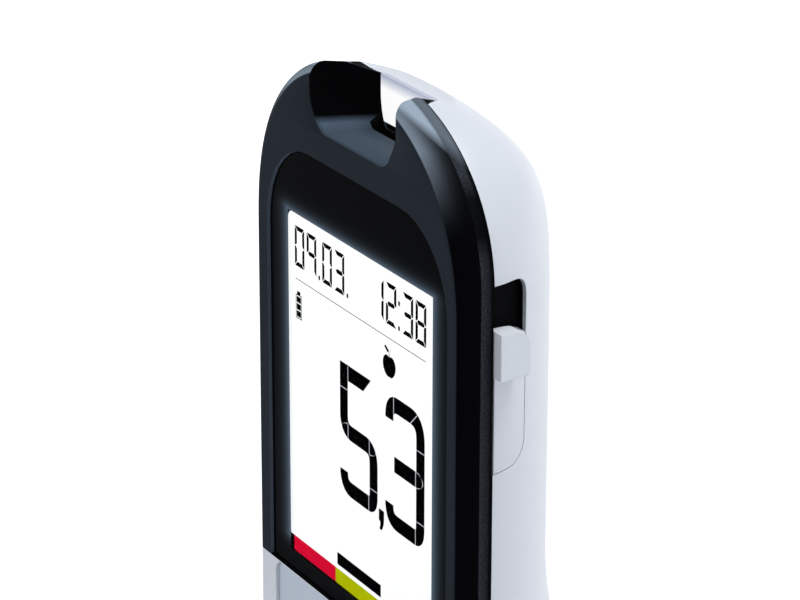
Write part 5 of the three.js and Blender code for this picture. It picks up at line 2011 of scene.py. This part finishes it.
@dataclass
class LancingUnit(Assembly):
    """The lancing unit's two shells, trigger, cocking slider, depth wheel, screws and end cap."""

    foot: float = 14.03
    top: float = 45.97
    cap_top: float = 13.97
    cap_floor: float = 1.2
    screw_x: float = 10.0
    screw_z: float = 39.0
    screw_seat: float = 11.0
    dial_x: float = 9.9
    dial_radius: float = 4.4
    trigger_shape: Outline = Outline(3.8, 23.5, 31.5, 3.0, 3.0)
    support: Box = ((-6.5, 13.0, 14.75), (6.5, 15.4, 33.0))
    slot: Box = ((-2.2, 8.0, 19.2), (2.2, 30.0, 29.3))
    recess: Outline = Outline(4.65, 16.85, 32.65, 1.0, 1.0)
    window: Outline = Outline(20.0, 17.35, 20.65, 0.3, 0.3, middle=29.9)

    def build(self) -> None:
        """Cut both shells and the cap, then fit the small parts."""
        finishes = self.case.finishes
        white = finishes.white_case
        rooms, heights = ((33.6, 44.65), (15.35, 32.4)), (self.foot, self.top)
        outer = self.case.outer_white
        front = self.case.shell(outer, (BEFORE, FRONT_BACK), heights, rooms)
        trigger_hole = plate(self.trigger_shape.grown(0.12), AHEAD, -AHEAD, white)
        plug = self.plug_room(2.75, 44.0)
        bosses = self.pair(2.0, 1.2, 4.6, self.screw_x, self.screw_z)
        bores = self.pair(0.9, 2.2, THROUGH, self.screw_x, self.screw_z)
        front.join(*bosses).cut(trigger_hole, plug, *bores)
        self.placement.settle(
            front, "lancing_front_skin", "lancing_unit", "white_case", "lancing_front_shell"
        )
        rear = self.case.shell(outer, (REAR_FRONT, BEYOND), heights, rooms)
        posts = [
            post.keep(outer) for post in self.pair(2.5, 4.9, THROUGH, self.screw_x, self.screw_z)
        ]
        support = block(*self.support, white).keep(outer)
        nose = bar(4.9, 7.0, 15.35, (0.0, MID_DEPTH), Axis.UP, white, 64)
        pin = bar(0.8, 14.75, 21.3, (self.dial_x, MID_DEPTH), Axis.UP, white)
        rear.join(*posts, support, nose, pin)
        recess = plate(self.recess, 14.6, THROUGH, white)
        slot = block(*self.slot, finishes.case_inside)
        window = plate(self.window, 3.4, 12.6, white)
        bore = bar(3.9, 0.0, 18.35, (0.0, MID_DEPTH), Axis.UP, finishes.case_inside, 64)
        wells = self.pair(1.9, self.screw_seat, THROUGH, self.screw_x, self.screw_z)
        rear.cut(recess, slot, window, bore, plug, *wells, *bores)
        self.placement.settle(
            rear, "lancing_rear_skin", "lancing_unit", "white_case", "lancing_rear_shell"
        )
        self.screws(self.screw_x, self.screw_z, self.screw_seat, "lancing_screw", "lancing_unit")
        self.trigger()
        self.cocker()
        self.wheel()
        self.end_cap()

    def trigger(self) -> None:
        """Make the trigger: a rolled cap with two spring fingers and three grip grooves."""
        grey = self.case.finishes.soft_grey
        cap = plate(self.trigger_shape, 0.1, 2.1, grey, front_round=0.4)
        fingers = plate(Outline(6.5, 26.5, 28.5, 0.3, 0.3), 2.0, 2.6, grey)
        fingers.cut(plate(Outline(2.5, 26.0, 29.0, 0.2, 0.2), 2.15, 3.0, grey))
        grooves = [Outline(2.0, 26.2 + k * 1.1, 26.6 + k * 1.1, 0.19, 0.19) for k in range(3)]
        cap.join(fingers).cut(*[plate(groove, BEFORE, 0.22, grey) for groove in grooves])
        self.placement.settle(cap, "trigger_button_cap", "trigger", "soft_grey", "trigger_button")

    def cocker(self) -> None:
        """Make the cocking slider's pad with its raised grip ribs, and its stem."""
        grey = self.case.finishes.soft_grey
        pad = plate(Outline(4.5, 19.5, 27.5, 0.8, 0.8), 14.9, 15.9, grey, back_round=0.2)
        pad.join(block((-1.9, 13.3, 22.0), (1.9, 15.4, 24.0), grey))
        grooves = [Outline(3.6, 20.6 + 1.35 * k, 21.2 + 1.35 * k, 0.28, 0.28) for k in range(5)]
        pad.cut(*[plate(groove, 15.55, 20.0, grey) for groove in grooves])
        self.placement.settle(
            pad, "cocking_slider_pad", "lancet_drive", "soft_grey", "cocking_slider"
        )

    def wheel(self) -> None:
        """Make the depth wheel: its rim ripples with 24 rounded teeth, softer at both ends.

        The radius is the outer radius less a share of the tooth depth times one less the cosine of
        24 turns.
        """
        turn = (np.arange(192) + 0.5) / 192 * 2 * HALF_TURN
        ripple = 0.15 * (1 - np.cos(24 * turn))
        heights = np.array([17.5, 17.58, 17.75, 20.25, 20.42, 20.5])
        inset = np.array([0.28, 0.1, 0.0, 0.0, 0.1, 0.28])
        radius = self.dial_radius - ripple[None, :] - inset[:, None]
        rings = np.stack(
            [
                self.dial_x + radius * np.cos(turn), MID_DEPTH + radius * np.sin(turn),
                np.broadcast_to(heights[:, None], radius.shape),
            ],
            axis=-1,
        )
        wheel = skin(rings, self.case.finishes.soft_grey)
        wheel.cut(
            bar(1.1, 0.0, 40.0, (self.dial_x, MID_DEPTH), Axis.UP, self.case.finishes.soft_grey)
        )
        self.placement.settle(wheel, "depth_dial_wheel", "depth_wheel", "soft_grey", "depth_dial")

    def end_cap(self) -> None:
        """Cut the cap's cup and its hole for the lancet, which is wider at its mouth."""
        white = self.case.finishes.white_case
        depths, heights = (BEFORE, BEYOND), (BEFORE, self.cap_top)
        cap = self.case.shell(self.case.outer_white, depths, heights, ((self.cap_floor, THROUGH),))
        hole = np.array([[2.1, BEFORE], [2.1, 0.0], [1.5, 0.5], [1.5, 3.0]])
        cap.cut(turned(hole, (0.0, MID_DEPTH), Axis.UP, white))
        self.placement.settle(cap, "end_cap_skin", "end_cap", "white_case", "end_cap")


class InnerParts:
    """The CAD nodes that keep their shape and get their finish here."""

    def __init__(self, finishes: Finishes) -> None:
        """Match each kind of node to its finish by the start of its name."""
        self.kinds = (
            ("main_board", finishes.circuit_board), ("lcd_backlight", finishes.lit_panel),
            ("lcd_connector", finishes.soft_grey), ("strip_connector", finishes.black_plastic),
            ("strip_port_led", finishes.lit_guide), ("strip_contact", finishes.contact_brass),
            ("usb_contact", finishes.contact_brass), ("usb_plug_shell", finishes.plated_steel),
            ("usb_plug_tongue", finishes.black_plastic), ("battery_contact", finishes.plated_steel),
            ("coin_cell", finishes.cell_steel), ("lancet_body", finishes.lancet_blue),
            ("lancet_needle", finishes.plated_steel), ("lancet_carrier", finishes.black_plastic),
            ("main_chip", finishes.black_plastic), ("memory_chip", finishes.black_plastic),
            ("switch_", finishes.plated_steel), ("ejector_spring", finishes.plated_steel),
            ("drive_spring", finishes.plated_steel), ("return_spring", finishes.plated_steel),
        )
        self.fallback = finishes.white_case

    def dress(self) -> None:
        """Give every CAD node a procedural finish, also those that a piece stands for."""
        for name, thing in frame["nodes"].items():
            chosen = next(
                (finish for start, finish in self.kinds if name.startswith(start)), self.fallback
            )
            for slot in thing.material_slots:
                slot.material = chosen
            if not thing.material_slots:
                thing.data.materials.append(chosen)


@dataclass(frozen=True)
class Studio:
    """The pale floor, the soft lights and the camera of the photograph."""

    azimuth: float = 61.151
    elevation: float = 20.023
    roll: float = 0.12
    lens: float = 154.2
    place: tuple[float, float, float] = (183.775, -106.01, 184.11)

    def floor(self) -> None:
        """Lay a wide floor that reads white to the camera where no shadow falls.

        Near the object camera rays see the lit floor plus a lift; farther away the lift grows
        until the floor is white, by the distance from the object.
        """
        mesh = bpy.data.meshes.new("studio_floor")
        reach = 6.0
        turn = np.linspace(0.0, 2 * HALF_TURN, 65)[:-1]
        points = np.stack(
            [reach * np.cos(turn), reach * np.sin(turn), np.full(64, -0.00002)], axis=1
        )
        mesh.from_pydata(points.tolist(), [], [list(range(64))])
        net = Wiring("studio_floor")
        away = net.add("VectorMath", operation="LENGTH")
        net.link(net.place(), away.inputs[0])
        lift = net.ramp(away.outputs["Value"], 0.08, 0.5, 0.34, 1.0)
        mesh.materials.append(net.finished(net.shader(
            roughness=0.8,
            base_color=net.blended(net.cloud(40.0, 2.0), (0.86, 0.86, 0.87), (0.84, 0.845, 0.855)),
            emission_color=(1.0, 1.0, 1.0),
            emission_strength=net.reckon("MULTIPLY", lift, net.seen()),
        )))
        thing = placed("studio_floor", mesh)

    def world(self) -> None:
        """Light the world softly and show it white to the camera, in gloss and through glass."""
        net = Wiring("studio", world=True)
        soft, white = net.add("Background"), net.add("Background")
        for node, colour, strength in (
            (soft, srgb(230, 235, 243), 0.42), (white, (1.0, 1.0, 1.0), 1.0)
        ):
            net.fill(node.inputs[0], colour)
            net.fill(node.inputs[1], strength)
        bpy.context.scene.world = net.finished(net.mixed(net.seen(), soft, white))

    def lamp(
        self, name: str, place: tuple, aim: tuple, size: Pair, power: float, colour: Colour
    ) -> None:
        """Hang one soft box.

        Args:
            name: the lamp's name.
            place: where it hangs, in metres.
            aim: the point it faces.
            size: its width and height.
            power: its power in watts.
            colour: its tint.
        """
        light = bpy.data.lights.new(name, "AREA")
        light.shape = "RECTANGLE"
        light.size, light.size_y = size
        light.energy = power
        light.color = colour
        thing = placed(name, light)
        thing.location = place
        thing.rotation_euler = (Vector(aim) - Vector(place)).to_track_quat("-Z", "Y").to_euler()

    def lights(self) -> None:
        """Hang the soft boxes: right, over the crown, before it and far left."""
        cool = srgb(248, 251, 255)
        for name, place, height, size, power, colour in (
            ("right_box", (0.5, 0.24, 0.55), 0.09, (0.4, 0.5), 0.92, srgb(249, 251, 255)),
            ("crown_box", (0.09, 0.24, 0.75), 0.115, (0.3, 0.24), 2.3, cool),
            ("front_box", (0.06, -0.63, 0.56), 0.115, (0.24, 0.24), 0.55, cool),
            ("left_box", (-0.6, -0.5, 0.3), 0.08, (0.4, 0.5), 0.5, srgb(246, 250, 255)),
        ):
            self.lamp(name, place, (0.0, 0.0, height), size, power, colour)

    def camera(self) -> None:
        """Set the camera that matches the photograph's view."""
        data = bpy.data.cameras.new("photo_view")
        data.lens = self.lens
        data.sensor_width = 36.0
        data.clip_start = 0.005
        data.clip_end = 20.0
        thing = placed("photo_view", data)
        a, e, r = (math.radians(value) for value in (self.azimuth, self.elevation, self.roll))
        right = Vector((math.cos(a), math.sin(a), 0.0))
        up = Vector((-math.sin(a) * math.sin(e), math.cos(a) * math.sin(e), math.cos(e)))
        look = Vector((-math.sin(a) * math.cos(e), math.cos(a) * math.cos(e), -math.sin(e)))
        turn = Matrix((right, up, -look)).transposed() @ Matrix.Rotation(r, 3, "Z")
        thing.matrix_world = Matrix.Translation(Vector(self.place) * MILLIMETRE) @ turn.to_4x4()
        bpy.context.scene.camera = thing

    def build(self) -> None:
        """Set up floor, world, lights, camera and the plain view transform."""
        self.floor()
        self.world()
        self.lights()
        self.camera()
        bpy.context.scene.view_settings.view_transform = "Standard"


def clear_tools() -> None:
    """Remove every solid that only served to cut, join or bound, with its mesh."""
    for thing in [thing for thing in bpy.data.objects if thing.name.startswith("blank")]:
        mesh = thing.data
        bpy.data.objects.remove(thing)
        bpy.data.meshes.remove(mesh)


def main() -> None:
    """Build every piece in order, dress the CAD nodes and set up the studio."""
    logging.basicConfig(level=logging.INFO, format="%(name)s: %(message)s")
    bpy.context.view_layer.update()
    placement = Placement()
    finishes = Finishes(placement.front)
    case = Case(finishes)
    DarkHead(case, placement).build()
    Display(case, placement).build()
    RearHalf(case, placement).build()
    SideSlider(case, placement).build()
    Keypad(case, placement).build()
    LancingUnit(case, placement).build()
    clear_tools()
    InnerParts(finishes).dress()
    Studio().build()


if __name__ == "__main__":
    main()
